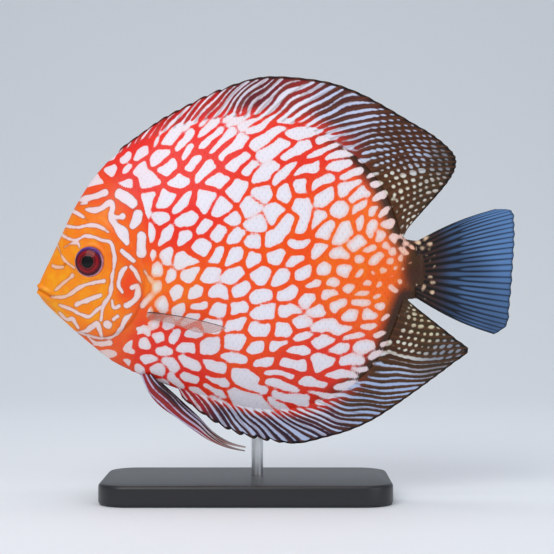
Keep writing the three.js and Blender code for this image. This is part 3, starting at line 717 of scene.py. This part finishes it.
def bendInto(skin):
    # the head's features, pushed out and in along the skin's own facing
    points = readPoints(skin) / mm
    head = points[:, 0] < -38
    x, y, z = points[head].T
    onFlank = smooth(0.2, 1.2, np.abs(y))
    high = np.zeros(len(x))
    for plate in plates.values():
        d, side = distanceTo(curveThrough(plate["edge"]), x, z)
        inside = -d * side  # above zero on the plate
        deep, where, wide = plate["groove"]
        raised = smooth(*plate["rise"], inside) * (1 - smooth(*plate["fall"], inside))
        high += onFlank * (plate["high"] * raised - deep * bell(inside - where, wide))
    # the mouth's slit and lips, round the front of the snout
    turn = np.linspace(-1, 1, 41) * math.pi / 2
    back = 1 - np.cos(turn)
    corner = halfThickness(mouth["cornerX"], mouth["cornerZ"])
    route = np.stack([mouth["x"] + back * (mouth["cornerX"] - mouth["x"]), np.sin(turn) * corner,
                      mouth["z"] + back * (mouth["cornerZ"] - mouth["z"])], 1)
    gaps = np.linalg.norm(points[head][:, None, :] - route[None], axis=2)
    nearest = gaps.argmin(1)
    gap = gaps.min(1)
    over = z - route[nearest, 2]
    fade = 0.35 + 0.65 * np.cos(turn[nearest]) ** 0.3
    high += mouth["lips"] * fade * bell(np.abs(over) - 1.0, 0.62) * smooth(3.4, 1.2, gap)
    high -= mouth["slit"] * bell(over, 0.28) * smooth(2.2, 0.4, gap)
    # nostrils
    r = np.hypot(x - nostril["x"], z - nostril["z"])
    high += onFlank * nostril["rim"] * bell(r - nostril["radius"], 0.32)
    high -= onFlank * nostril["pit"] * smooth(0.75, 0.2, r)
    # eye sockets with a low fleshy rim
    r = np.hypot(x - eye["x"], z - eye["z"]) - eye["shown"]
    high += onFlank * (eye["rim"] * bell(r - 0.45, 0.5) - eye["socket"] * smooth(0.05, -1.2, r))
    push = np.full(len(points), -skinShape["sunk"])
    push[head] += high
    writePoints(skin, points + readNormals(skin) * push[:, None])


rimLine = np.array([0.050, 0.015, 0.006])  # line colour where the body meets its rear fins


def markPiece(piece, points):
    # the net, the head's stripes and the colours, on the vertices
    x, _, z = points.T
    line, cell = blendTints(bodyTints, x, z)
    head = headShare(x, z)
    value = netValue(x, z, bodyHalfLine(x, z)) - 4 * head
    value = np.maximum(value, np.where(x < -36, stripeValue(x, z), -9))
    rim = np.maximum(rearRim(x, z), smooth(40.5, 46.5, x))
    value = value - 0.35 * rim * smooth(24, 36, x) * smooth(43, 39, x)
    rearGlow = 0.5 * bell(x - 34, 22) * bell(z - 76, 24)
    gillGlow = 0.8 * bell(x + 41, 4) * bell(z - 68, 12)
    keep(piece, net=value, lineTint=between(line, rimLine, rim), cellTint=cell,
         glow=np.clip(0.10 + rearGlow + gillGlow, 0, 1), head=head)


skinLook = {
    "grain": 0.35,  # how far a fine noise breaks up the edges of the lines
    "linePatches": (1.0, 1.7, 0.8),  # what soft patches of the lines are multiplied by
    "speckle": (0.66, 0.62, 0.76),
    "glow": (0.94, 0.30, 0.10),
    "ink": (0.28, 0.07, 0.03),  # a thin brown edge round the stripes of the head
}


def paintSkin():
    paint = Paint("discusSkin", {**wet, "Roughness": 0.42, "Coat Weight": 0.14})
    away = paint.attribute("net", "Fac") + (paint.noise(0.0011, 2) - 0.5) * skinLook["grain"]
    cell = paint.step(away, -net["softness"], net["softness"])
    patches = paint.step(paint.noise(0.004, 2), 0.4, 0.7, 0, 0.5)
    line = paint.mixed(patches, paint.attribute("lineTint"), skinLook["linePatches"], "MULTIPLY")
    speckle = paint.step(paint.noise(0.0008, 3, 0.65), 0.45, 0.8, 0, 0.35)
    pale = paint.mixed(speckle, paint.attribute("cellTint"), skinLook["speckle"])
    glow = paint.step(away, 1.5, 0.0) * paint.attribute("glow", "Fac")
    colour = paint.mixed(cell, line, paint.mixed(glow, pale, skinLook["glow"]))
    edge = paint.step(away, -0.40, -0.08) * paint.step(away, 0.22, 0.0)
    ink = edge * paint.attribute("head", "Fac") * 0.4
    paint.set("Base Color", paint.mixed(ink, colour, skinLook["ink"]))
    return paint.material


skin = makeSkin()
markPiece(skin, readPoints(skin) / mm)
bendInto(skin)
skinPaint = paintSkin()
finishPiece(skin, skinPaint, "body_skin", "head", "torso", "tail_base", "gill_cover_left",
            "gill_cover_right")
print("skin made")

# Scales: small plates over the trunk, sunk in front and free behind, in rows along the lateral line
scales = {
    "pitch": 1.9,  # from one scale to the next in a row
    "row": 1.5,  # from row to row
    "front": -60,
    "rear": 46.5,
    "highest": 62,  # how far the rows go above and below the lateral midline
    "uneven": 0.05,
    "halfLong": 1.4,
    "halfWide": 1.1,
    "narrower": 0.12,  # towards the rear
    "sides": 14,
    "lift": 0.095,  # how far the free edge stands up
    "root": 0.09,  # how deep the front edge lies in the skin
    "rim": 0.22,  # how far the outermost ring turns down
    "behindGill": 0.7,
    "bare": 0.012,  # share of the way round that stays bare at the belly and the back
    "unwrap": np.array([(-62, -66), (50, 66)]),  # the rows' low and high corners on the unwrap
    "patch": 0.0015,  # the part of the unwrap that one plate bakes to
    "seed": 11,
}
trunkGrid = {"start": -62, "end": 49, "columns": 400, "rows": 241}  # where the trunk's skin is tabled


def trunkTable():
    # places on the trunk's skin by x and by the share of the way from the belly to the back
    xs = np.linspace(trunkGrid["start"], trunkGrid["end"], trunkGrid["columns"])
    share = np.linspace(0, 1, trunkGrid["rows"])
    table = {"y": [], "z": [], "length": [], "middle": []}
    for x in xs:
        run, y, z = sectionTable(x)
        table["y"].append(np.interp(share * run[-1], run, y))
        table["z"].append(np.interp(share * run[-1], run, z))
        table["length"].append(run[-1])
        table["middle"].append(np.interp((z[0] + z[-1]) / 2, z, run))
    return {"xs": xs, **{name: np.array(values) for name, values in table.items()}}


trunk = trunkTable()


def onTrunk(x, arc):
    # the right flank's point at x, so far above the lateral midline, and its share of the way up
    xs = trunk["xs"]
    length, middle = (np.interp(x, xs, trunk[name]) for name in ("length", "middle"))
    share = np.clip((middle + arc) / length, 0, 1)
    i, j = (x - xs[0]) / (xs[1] - xs[0]), share * (trunkGrid["rows"] - 1)
    return np.stack([x, readGrid(trunk["y"], i, j), readGrid(trunk["z"], i, j)], -1), share


def scalePlaces():
    chance = np.random.default_rng(scales["seed"])
    places = []
    for k, arc in enumerate(np.arange(-scales["highest"], scales["highest"], scales["row"])):
        x = np.arange(scales["front"], scales["rear"], scales["pitch"]) + (k % 2) * scales["pitch"] / 2
        places.append(np.stack([x, np.full(len(x), arc)], 1))
    places = np.vstack(places)
    places = places + chance.normal(0, scales["uneven"], places.shape)
    points, share = onTrunk(*places.T)
    d, side = distanceTo(headEdge, points[:, 0], points[:, 2])
    return places[(np.abs(share - 0.5) < 0.5 - scales["bare"]) & (d * side > scales["behindGill"])]


def scalePlate():
    # one plate laid flat: a middle, two rings on its face and a third that turns down into the skin
    sides = scales["sides"]
    turn = 2 * math.pi * np.arange(sides) / sides
    ring = np.stack([np.cos(turn), np.sin(turn)], 1)
    plate = np.vstack([[[0, 0]], ring * 0.5, ring * 0.94, ring])
    drop = scales["root"] + np.concatenate([np.zeros(1 + 2 * sides), np.full(sides, scales["rim"])])
    faces = []
    for k in range(sides):
        m = (k + 1) % sides
        faces.append((0, 1 + k, 1 + m))
        for inner in (1, 1 + sides):
            faces.append((inner + k, inner + sides + k, inner + sides + m))
            faces.append((inner + k, inner + sides + m, inner + m))
    return plate, drop, np.array(faces)


def makeScales(side, word):
    places = scalePlaces()
    plate, drop, faces = scalePlate()
    along = plate[:, 0] * scales["halfLong"]
    across = plate[:, 1] * scales["halfWide"] * (1 - scales["narrower"] * plate[:, 0])
    x = (places[:, :1] + along).ravel()
    arc = (places[:, 1:] + across).ravel()
    small = 0.1
    middle, _ = onTrunk(x, arc)
    facing = np.cross(onTrunk(x + small, arc)[0] - onTrunk(x - small, arc)[0],
                      onTrunk(x, arc + small)[0] - onTrunk(x, arc - small)[0])
    facing *= np.sign(facing[:, 1:2]) / np.maximum(np.linalg.norm(facing, axis=1), 1e-9)[:, None]
    high = np.tile(scales["lift"] * smooth(-1.0, 0.9, plate[:, 0]) - drop, len(places)) - skinShape["sunk"]
    points = middle + facing * high[:, None]
    points[:, 1] *= side
    faces = (faces + (np.arange(len(places)) * len(plate))[:, None, None]).reshape(-1, 3)
    if side > 0:
        faces = faces[:, ::-1]
    made = bpy.data.meshes.new("scales_" + word)
    made.from_pydata(points * mm, [], faces.tolist())
    coat = bpy.data.objects.new("scales_" + word, made)
    bpy.context.scene.collection.objects.link(coat)
    markPiece(coat, middle)
    # each plate bakes to a small patch at its own place on the unwrap
    low, high = scales["unwrap"]
    root = (places - low) / (high - low) * 0.98 + 0.01
    atVertex = (root[:, None] + plate[None] * scales["patch"]).reshape(-1, 2)
    unwrap = made.uv_layers.new(name="OFBake")
    unwrap.data.foreach_set("uv", atVertex[faces.ravel()].astype(np.float32).ravel())
    return finishPiece(coat, skinPaint, "body_skin")


for side, word in bothSides:
    makeScales(side, word)
print("scales made")

# Eyes: colours of the rings from the pupil out, each at its share of the iris's radius
eyeRings = [
    (0.0, (0.001, 0.001, 0.002)), (0.40, (0.001, 0.001, 0.002)), (0.425, (0.42, 0.02, 0.02)),
    (0.46, (0.04, 0.001, 0.003)), (0.60, (0.32, 0.003, 0.010)), (0.74, (0.09, 0.001, 0.008)),
    (0.84, (0.03, 0.002, 0.02)), (0.90, (0.60, 0.28, 0.36)), (1.0, (0.50, 0.16, 0.10)),
]
eyeLook = {"irisRadius": 5.3, "flecks": (0.02, 0.004, 0.01), "upperRim": (0.075, 0.022, 0.26)}


def makeEye(side, word):
    ball = startPiece("eyeball_" + word, bpy.ops.mesh.primitive_uv_sphere_add, segments=64, ring_count=40,
                      radius=1, rotation=(math.pi / 2, 0, 0))
    bpy.ops.object.transform_apply()
    local = readPoints(ball)
    y = side * (float(halfThickness(eye["x"], eye["z"])) + eye["proud"] - eye["depth"])
    bpy.ops.transform.resize(value=(eye["radius"] * mm, eye["depth"] * mm, eye["radius"] * mm))
    bpy.ops.transform.rotate(value=-side * eye["cheekTurn"], orient_axis="Z", center_override=(0, 0, 0))
    bpy.ops.transform.translate(value=(eye["x"] * mm, y * mm, eye["z"] * mm))
    bpy.ops.object.transform_apply()
    radial = np.hypot(local[:, 0], local[:, 2]) * eye["radius"]
    keep(ball, radial=np.where(side * local[:, 1] > 0, radial, eye["radius"]), upper=local[:, 2])
    return finishPiece(ball, eyePaint, "eye", "eye_" + word)


def paintEye():
    paint = Paint("eyeballGloss", {
        "Roughness": 0.4, "Specular IOR Level": 0.1, "Coat Weight": 0.3, "Coat Roughness": 0.02,
    })
    rings = paint.attribute("radial", "Fac") / eyeLook["irisRadius"] + (paint.noise(0.0012, 3) - 0.5) * 0.03
    ramp = paint.node("ShaderNodeValToRGB", {"stops": eyeRings}, {0: rings})
    flecks = paint.step(paint.noise(0.0008, 3), 0.45, 0.7, 0, 0.35)
    iris = paint.mixed(flecks, ramp, eyeLook["flecks"], "MULTIPLY")
    upper = paint.step(paint.attribute("upper", "Fac"), 0.15, 0.75)
    upperRim = paint.step(rings, 0.70, 0.88, 0, 0.8) * upper
    paint.set("Base Color", paint.mixed(upperRim, iris, eyeLook["upperRim"]))
    return paint.material


eyePaint = paintEye()
for side, word in bothSides:
    makeEye(side, word)
print("eyes made")

# Median fins: root x, tip x, tip z of rays from front to back, as in the part
dorsalKeys = [
    (-53.5, -52.2, 117.2), (-48.0, -45.8, 121.8), (-41.8, -38.8, 126.8), (-35.2, -30.6, 131.3),
    (-28.0, -20.2, 136.4), (-21.0, -9.6, 140.0), (-14.2, -1.9, 141.2), (-7.2, 8.9, 140.6),
    (-0.5, 19.0, 138.9), (5.6, 28.7, 135.3), (11.2, 37.4, 130.6), (17.0, 45.4, 125.8), (22.4, 52.2, 121.8),
    (27.0, 57.2, 117.8), (31.2, 60.1, 114.2), (34.5, 60.2, 110.6), (37.2, 58.4, 106.8), (39.4, 54.8, 102.2),
    (41.0, 49.6, 96.4), (42.4, 44.6, 90.8),
]
analKeys = [
    (-34.2, -31.6, 33.0), (-27.5, -22.2, 25.8), (-20.8, -12.4, 20.8), (-14.0, -2.2, 18.6), (-7.2, 7.2, 17.9),
    (-0.5, 16.3, 19.9), (5.6, 24.6, 22.3), (12.0, 32.7, 26.0), (18.0, 40.0, 30.7), (23.4, 46.8, 35.5),
    (28.4, 53.4, 40.3), (32.8, 59.2, 44.7), (36.4, 64.5, 49.2), (39.0, 60.0, 53.3), (41.0, 53.4, 58.5),
    (42.2, 47.2, 63.4), (43.2, 43.8, 66.2),
]
dorsalFin = {
    "name": "dorsalFin", "node": "dorsal_fin", "keys": dorsalKeys, "up": 1, "tints": dorsalTints,
    "rays": 40, "spines": 9, "rows": 74, "streaks": 44,
    "dots": (1, 0, 27, 40),  # shares of x and z, and where their sum begins and ends turning streaks to dots
}
analFin = {
    "name": "analFin", "node": "anal_fin", "keys": analKeys, "up": -1, "tints": analTints,
    "rays": 36, "spines": 7, "rows": 64, "streaks": 41, "dots": (0.15, 1, 52, 57),
}
finShape = {
    "rootDepth": 2.0,  # how deep the root lies in the body
    "notch": 0.1, "bow": 0.05, "ridge": 0.16, "sheath": 1.02, "sheathLong": 0.55,
    "blade": 0.2,  # half of the bare blade's thickness
    "marginDark": 0.93,
}
streakLook = {
    "leanBack": 0.11,
    "sway": 0.28,
    "half": 0.225,  # half of a streak's width, as a share of the space from streak to streak
    "contrast": 2.4,
    "dotEvery": 2.5,
    "dotHigh": 2.2,
    "dotRadius": 0.56,
}


def rayCrest(u, rays):
    return 1 - np.abs((u * rays) % 1 - 0.5) * 2  # 1 on a ray, 0 between rays


def finSheet(name, columns, rows):
    # a flat closed sheet, with u along x, v along z and its two faces at either side of y = 0
    sheet = startPiece(name, bpy.ops.mesh.primitive_grid_add, x_subdivisions=columns, y_subdivisions=rows,
                       size=1, rotation=(math.pi / 2, 0, 0))
    bpy.ops.object.transform_apply()
    shapeWith(sheet, "SOLIDIFY", thickness=0.01, offset=0)
    flat = readPoints(sheet)
    return sheet, np.clip(flat[:, 0] + 0.5, 0, 1), np.clip(flat[:, 2] + 0.5, 0, 1), np.sign(flat[:, 1])


def finThickness(v, sheath, sheathLong, ridge):
    # half of a fin's thickness: a fleshy sheath at the root, the rays' ridges and a thin edge
    root = sheath * np.clip(1 - v / sheathLong, 0, 1) ** 1.5
    return (finShape["blade"] + root + ridge) * (1 - smooth(0.97, 1.0, v) * 0.6)


def streakValue(fin, u, along, spacing, x, z):
    # above zero on a pale streak: they follow the rays, break up, and turn into rows of dots at the rear
    leanBack = streakLook["leanBack"] * along * smooth(5, -25, x)
    phase = u * fin["streaks"] - leanBack + streakLook["sway"] * sampled("uneven", x, z)
    track = np.rint(phase)
    column = (track * 23.7) % 150 - 75
    long = sampled("uneven", column, 12 + along * 0.4)
    short = sampled("uneven", column, 12 + along * 2.4)
    half = streakLook["half"] - 0.05 * smooth(-5, 25, x) - 0.075 * smooth(-12, -32, x) + 0.09 * long
    streak = streakLook["contrast"] * (half - np.abs(phase - track))
    ticks = along / streakLook["dotEvery"] + 0.5 * (track % 2) + 0.55 * long
    spot = np.hypot((phase - track) * spacing, (ticks - np.rint(ticks)) * streakLook["dotHigh"])
    partX, partZ, low, high = fin["dots"]
    dots = smooth(low, high, partX * x + partZ * z)
    radius = np.minimum(streakLook["dotRadius"], 0.30 * spacing) + 0.14 * short
    return streak + (radius - spot - streak) * dots


def finPlace(fin, u, v):
    # a place on a fin, the height of the fin there, and how near to a ray it is
    rootX, tipX, tipZ = alongRows(fin["keys"], u).T
    rootZ = profileAt(rootX)[0 if fin["up"] > 0 else 1] - fin["up"] * finShape["rootDepth"]
    crest = rayCrest(u, fin["rays"])
    spiny = smooth(fin["spines"] + 1.5, fin["spines"], u * fin["rays"])
    soft = 0.012 * (1 - crest) * (1 - spiny)
    reach = v * (1 - finShape["notch"] * spiny * (1 - crest) ** 1.5 - soft)
    arch = finShape["bow"] * np.sin(math.pi * reach)
    dx, dz = tipX - rootX, tipZ - rootZ
    x = rootX + dx * reach - dz * arch
    z = rootZ + dz * reach + dx * arch * fin["up"]
    return x, z, np.hypot(dx, dz), crest


def medianFin(fin):
    sheet, u, v, side = finSheet(fin["name"], fin["rays"] * 8, fin["rows"])
    x, z, high, crest = finPlace(fin, u, v)
    ridge = finShape["ridge"] * crest**2 * (1 - 0.75 * v) * smooth(0.0, 0.1, v)
    thick = finThickness(v, finShape["sheath"], finShape["sheathLong"], ridge)
    writePoints(sheet, np.stack([x, side * thick, z], 1))
    outwards(sheet)
    small = 0.5 / fin["rays"]
    nextX, nextZ, _, _ = finPlace(fin, u + small, v)
    spacing = np.hypot(nextX - x, nextZ - z) / small / fin["streaks"]
    body = netValue(x, z, bodyHalfLine(x, z)) - 0.4 * smooth(22, 34, x)
    leaving = smooth(0.5, 3.5, v * high)  # from the body's net to the fin's streaks
    value = body + (streakValue(fin, u, v * high, spacing, x, z) - body) * leaving
    # the body's own colours run up onto the root of the fin
    near = smooth(0.34, 0.04, v) * smooth(34, 8, x)
    tints = zip(blendTints(fin["tints"], x, z), blendTints(bodyTints, x, z))
    line, cell = (between(own, fromBody, near) for own, fromBody in tints)
    margin = (1 - v) * high  # distance to the fin's outer edge
    value = value - 1.2 * smooth(1.7, 0.5, margin)
    line = line * (1 - finShape["marginDark"] * smooth(2.0, 0.6, margin))[:, None]
    keep(sheet, net=value, lineTint=line, cellTint=cell, ray=crest)
    return finishPiece(sheet, finPaint, "median_fin", fin["node"])


def paintFin():
    paint = Paint("finMembrane", {**wet, "Roughness": 0.5, "Coat Weight": 0.08})
    away = paint.attribute("net", "Fac") + (paint.noise(0.0012, 2) - 0.5) * 0.5
    cell = paint.step(away, -0.2, 0.25)
    colour = paint.mixed(cell, paint.attribute("lineTint"), paint.attribute("cellTint"))
    ray = paint.step(paint.attribute("ray", "Fac"), 0.5, 0.95, 0, 0.38)
    paint.set("Base Color", paint.mixed(ray, colour, (0.15, 0.05, 0.018)))
    return paint.material


finPaint = paintFin()
medianFin(dorsalFin)
medianFin(analFin)
print("dorsal and anal fins made")

# Tail fin: root z, tip x, tip z of its rays from top to bottom
tailKeys = [
    (85.6, 73.6, 96.6), (83.6, 79.0, 96.0), (81.0, 79.9, 91.4), (78.6, 79.9, 85.6), (76.2, 79.5, 79.0),
    (73.8, 79.0, 71.6), (71.4, 78.3, 64.4), (68.9, 77.4, 57.8), (66.9, 73.2, 54.6),
]
tailFin = {
    "rays": 14, "startX": 46.6, "fanning": 0.1, "rows": 60, "ridge": 0.2, "sheath": 1.75, "sheathLong": 0.4,
    "steel": (0.10, 0.215, 0.45), "dark": (0.012, 0.020, 0.050), "base": (0.04, 0.014, 0.010),
    "dots": (0.72, 0.50, 0.34),
}


def makeTailFin():
    sheet, u, v, side = finSheet("tailFin", tailFin["rays"] * 12, tailFin["rows"])
    rootZ, tipX, tipZ = alongRows(tailKeys, u).T
    crest = rayCrest(u, tailFin["rays"])
    x = tailFin["startX"] + (tipX - tailFin["startX"]) * v * (1 - 0.012 * (1 - crest))
    z = rootZ + (tipZ - rootZ) * (v + tailFin["fanning"] * np.sin(math.pi * v))
    # each ray forks on its way out
    split = np.abs((u * tailFin["rays"] * 2 + 0.5) % 1 - 0.5) * 2
    forked = smooth(0.35, 0.6, v)
    ridge = tailFin["ridge"] * (crest**3 * (1 - forked) + split**3 * forked) * (1 - 0.7 * v)
    edge = np.minimum(1, 0.35 + 8 * np.minimum(u, 1 - u))
    thick = finThickness(v, tailFin["sheath"] * edge, tailFin["sheathLong"], ridge)
    writePoints(sheet, np.stack([x, side * thick, z], 1))
    outwards(sheet)
    steel, dark, base = (np.array(tailFin[name]) for name in ("steel", "dark", "base"))
    blue = smooth(0.1, 0.95, v) * (1 - 0.6 * smooth(0.5, 0.95, u)) + 0.12 * sampled("uneven", x, z)
    line = between(dark, steel, np.clip(blue, 0, 1))
    line = between(line, base, smooth(0.40, 0.17, v))
    rim = np.clip(smooth(0.035, 0.0, np.minimum(u, 1 - u)) + smooth(0.975, 1.0, v), 0, 1)
    stem = smooth(0.15 + 0.45 * v, 0.60 + 0.3 * v, crest * (1 - forked) + split * forked)
    line = line * ((1 - 0.85 * rim) * (1 - 0.93 * stem))[:, None]
    keep(sheet, net=netValue(x, z, 0.8) + 0.15 - 3 * smooth(0.18, 0.32, v), lineTint=line,
         cellTint=np.tile(tailFin["dots"], (len(x), 1)), ray=np.zeros(len(x)))
    return finishPiece(sheet, finPaint, "tail_fin", "caudal_fin")


makeTailFin()
print("tail fin made")

# Pelvic fins, drawn out into a thread
pelvic = {
    "rays": 5, "rootY": 1.6, "flare": 3.6,
    "red": (0.30, 0.02, 0.025), "black": (0.03, 0.01, 0.015),
    "lilac": (0.50, 0.45, 0.64), "pale": (0.55, 0.44, 0.42),
    "lower": [(-45.4, 41.4), (-42.6, 35.2), (-38.6, 30.6), (-33.4, 27.0), (-27.5, 22.8), (-22.2, 19.4),
              (-16.2, 17.0), (-10.6, 15.9)],
    "upper": [(-41.6, 41.2), (-38.2, 37.8), (-34.6, 34.4), (-31.0, 31.0), (-26.2, 26.4), (-21.2, 21.2),
              (-15.8, 17.9), (-10.4, 16.3)],
}


def makePelvicFin(side, word):
    sheet, u, v, face = finSheet("pelvicFin_" + word, 40, 90)
    lower, upper = (alongRows(pelvic[name], v) for name in ("lower", "upper"))
    crest = rayCrest(u, pelvic["rays"])
    x, z = between(lower, upper, u).T
    y = side * (pelvic["rootY"] + pelvic["flare"] * np.sin(math.pi / 2 * v) + 0.5 * u)
    thick = 0.22 + 0.5 * np.clip(1 - v / 0.3, 0, 1) + 0.16 * crest * (1 - v)
    writePoints(sheet, np.stack([x, y + face * thick, z], 1))
    outwards(sheet)
    streak = 0.8 * np.sin((u * 2.6 + 0.15 * np.sin(v * 17)) * 2 * math.pi)
    red, black, lilac, pale = (np.array(pelvic[name]) for name in ("red", "black", "lilac", "pale"))
    line = between(between(red, black, smooth(0.35, 0.8, u)), pale, smooth(0.72, 1.0, v))
    keep(sheet, net=streak - 0.5 + 0.4 * sampled("uneven", x, z), lineTint=line,
         cellTint=between(lilac, pale, smooth(0.5, 0.8, v)), ray=crest * 0.8)
    return finishPiece(sheet, finPaint, "pelvic_fin", "pelvic_fin_" + word)


# Pectoral fins: clear fans held out from the flank
pectoral = {
    "x": -42.6, "z": 62.4, "high": 2.6, "sunk": 0.8, "rays": 12,
    "outerTip": np.array([-15.2, 23.2, 57.6]), "innerTip": np.array([-21.5, 17.2, 54.6]), "bend": 1.1,
}


def makePectoralFin(side, word):
    sheet, u, v, face = finSheet("pectoralFin_" + word, pectoral["rays"] * 8, 50)
    rootY = float(halfThickness(pectoral["x"], pectoral["z"])) - pectoral["sunk"]

    def place(u, v):
        spread = (u * u * (3 - 2 * u))[:, None]
        rootZ = pectoral["z"] - pectoral["high"] * u
        root = np.stack([pectoral["x"] + 0.6 * u, np.full(len(u), rootY), rootZ], 1)
        roundTip = 1 - 0.16 * (2 * u - 0.7) ** 2
        tip = pectoral["outerTip"] + (pectoral["innerTip"] - pectoral["outerTip"]) * spread
        bend = pectoral["bend"] * np.sin(math.pi * v)
        p = root + (tip - root) * (v * roundTip)[:, None]
        return np.stack([p[:, 0], side * (p[:, 1] + 0.5 * bend), p[:, 2] + 0.6 * bend], 1)

    small = 0.01
    middle = place(u, v)
    facing = np.cross(place(u + small, np.maximum(v, 0.05)) - place(u - small, np.maximum(v, 0.05)),
                      place(u, v + small) - place(u, v - small))
    facing /= np.linalg.norm(facing, axis=1)[:, None]
    crest = rayCrest(u, pectoral["rays"])
    thick = 0.1 + 0.4 * np.clip(1 - v / 0.3, 0, 1) + 0.12 * crest**2 * (1 - v)
    writePoints(sheet, middle + facing * (face * thick)[:, None])
    outwards(sheet)
    keep(sheet, ray=crest, lead=u, reach=v)
    return finishPiece(sheet, clearPaint, "clear_fin", "pectoral_fin_" + word)


def paintClearFin():
    paint = Paint("clearMembrane", {**wet, "Roughness": 0.35, "Coat Weight": 0.2})
    ray = paint.step(paint.attribute("ray", "Fac"), 0.55, 0.95)
    lead = paint.step(paint.attribute("lead", "Fac"), 0.15, 0.04)
    rays = paint.mixed(ray, (0.80, 0.50, 0.42), (0.42, 0.14, 0.12))
    paint.set("Base Color", paint.mixed(lead, rays, (0.05, 0.03, 0.04)))
    paint.set("Alpha", paint.step(ray * 0.5 + lead, 0.0, 1.0, 0.34, 0.95))
    return paint.material


clearPaint = paintClearFin()
for side, word in bothSides:
    makePelvicFin(side, word)
    makePectoralFin(side, word)
print("paired fins made")

# Stand: satin base and brushed rod
stand = {
    "x": -10.0, "long": 96, "wide": 50, "high": 7, "corner": 10, "bevel": 1.2,
    "rodX": -6.5, "rodY": 6.0, "rodRadius": 2.0, "rodTop": 50, "rodSunk": 0.5,
    "satin": {"Base Color": (0.012, 0.013, 0.015, 1), "Roughness": 0.38},
    "brushed": {"Base Color": (0.62, 0.63, 0.65, 1), "Roughness": 0.28, "Metallic": 1.0},
}


def makeBase():
    base = startPiece("standBase", bpy.ops.mesh.primitive_cube_add, size=1,
                      location=(stand["x"] * mm, 0, stand["high"] / 2 * mm))
    bpy.ops.transform.resize(value=(stand["long"] * mm, stand["wide"] * mm, stand["high"] * mm))
    bpy.ops.object.transform_apply()
    pickEdges(base, lambda a, b: abs(a.z - b.z) > 1e-5)
    bpy.ops.mesh.bevel(offset=stand["corner"] * mm, segments=10)
    bpy.ops.object.mode_set(mode="OBJECT")
    shapeWith(base, "BEVEL", width=stand["bevel"] * mm, segments=4, limit_method="ANGLE")
    finishPiece(base, Paint("satinBase", stand["satin"]).material, "stand_base", "stand_base")
    bpy.ops.object.shade_smooth_by_angle(angle=math.radians(35))


def makeRod():
    low, high = stand["high"] - stand["rodSunk"], stand["rodTop"]
    rod = startPiece("standRod", bpy.ops.mesh.primitive_cylinder_add, vertices=48,
                     radius=stand["rodRadius"] * mm, depth=(high - low) * mm,
                     location=(stand["rodX"] * mm, stand["rodY"] * mm, (low + high) / 2 * mm))
    bpy.ops.object.transform_apply()
    finishPiece(rod, Paint("brushedRod", stand["brushed"]).material, "stand_rod", "stand_rod")
    bpy.ops.object.shade_smooth_by_angle(angle=math.radians(35))


makeBase()
makeRod()
print("stand made")

# Floor, light and camera, in metres except for what the camera takes in
studio = {
    "floorSize": 6, "wallHigh": 3, "wallY": 1.1, "sweep": 0.7, "floor": (0.80, 0.83, 0.87, 1),
    "sky": (0.86, 0.92, 1.0, 1), "skyStrength": 0.42, "aim": (0, 0, 0.075),
    "lens": 100.0, "film": 36, "width": 185.83, "middleX": 0.17, "middleZ": 73.8,
}
# Lights: place, size, power, colour
lights = {
    "keyLight": ((-0.35, -0.75, 0.75), 0.7, 5.4, (1.0, 0.98, 0.95)),
    "fillLight": ((0.7, -0.6, 0.35), 0.6, 1.6, (0.95, 0.97, 1.0)),
    "topLight": ((0.0, 0.1, 0.9), 0.6, 2.6, (1.0, 1.0, 1.0)),
}


def makeFloor():
    floor = startPiece("floor", bpy.ops.mesh.primitive_plane_add, size=studio["floorSize"])
    farEdge = studio["floorSize"] / 2 - 0.1
    pickEdges(floor, lambda a, b: min(a.y, b.y) > farEdge)
    bpy.ops.mesh.extrude_region_move(TRANSFORM_OT_translate={"value": (0, 0, studio["wallHigh"])})
    bpy.ops.object.mode_set(mode="OBJECT")
    for vertex in floor.data.vertices:  # the back wall stands a little behind the fish
        if vertex.co.y > farEdge:
            vertex.co.y = studio["wallY"]
    shapeWith(floor, "BEVEL", width=studio["sweep"], segments=24)
    for polygon in floor.data.polygons:
        polygon.use_smooth = True
    paint = Paint("paleFloor", {"Base Color": studio["floor"], "Roughness": 0.7})
    floor.data.materials.append(paint.material)


def makeLights():
    world = bpy.data.worlds.new("softSky")
    bpy.context.scene.world = world
    world.use_nodes = True
    world.node_tree.nodes["Background"].inputs["Color"].default_value = studio["sky"]
    world.node_tree.nodes["Background"].inputs["Strength"].default_value = studio["skyStrength"]
    for name, (spot, size, power, tint) in lights.items():
        bpy.ops.object.light_add(type="AREA", location=spot)
        light = bpy.context.object
        light.name = name
        light.data.size = size
        light.data.energy = power
        light.data.color = tint
        light.rotation_euler = (Vector(studio["aim"]) - Vector(spot)).to_track_quat("-Z", "Y").to_euler()


def makeCamera():
    distance = studio["lens"] / studio["film"] * studio["width"] * mm
    bpy.ops.object.camera_add(location=(studio["middleX"] * mm, -distance, studio["middleZ"] * mm),
                              rotation=(math.pi / 2, 0, 0))
    camera = bpy.context.object
    camera.data.lens = studio["lens"]
    camera.data.sensor_width = studio["film"]
    camera.data.clip_start = 0.02
    camera.data.clip_end = 20
    bpy.context.scene.camera = camera
    bpy.context.scene.view_settings.view_transform = "Standard"


makeFloor()
makeLights()
makeCamera()
print("studio made")
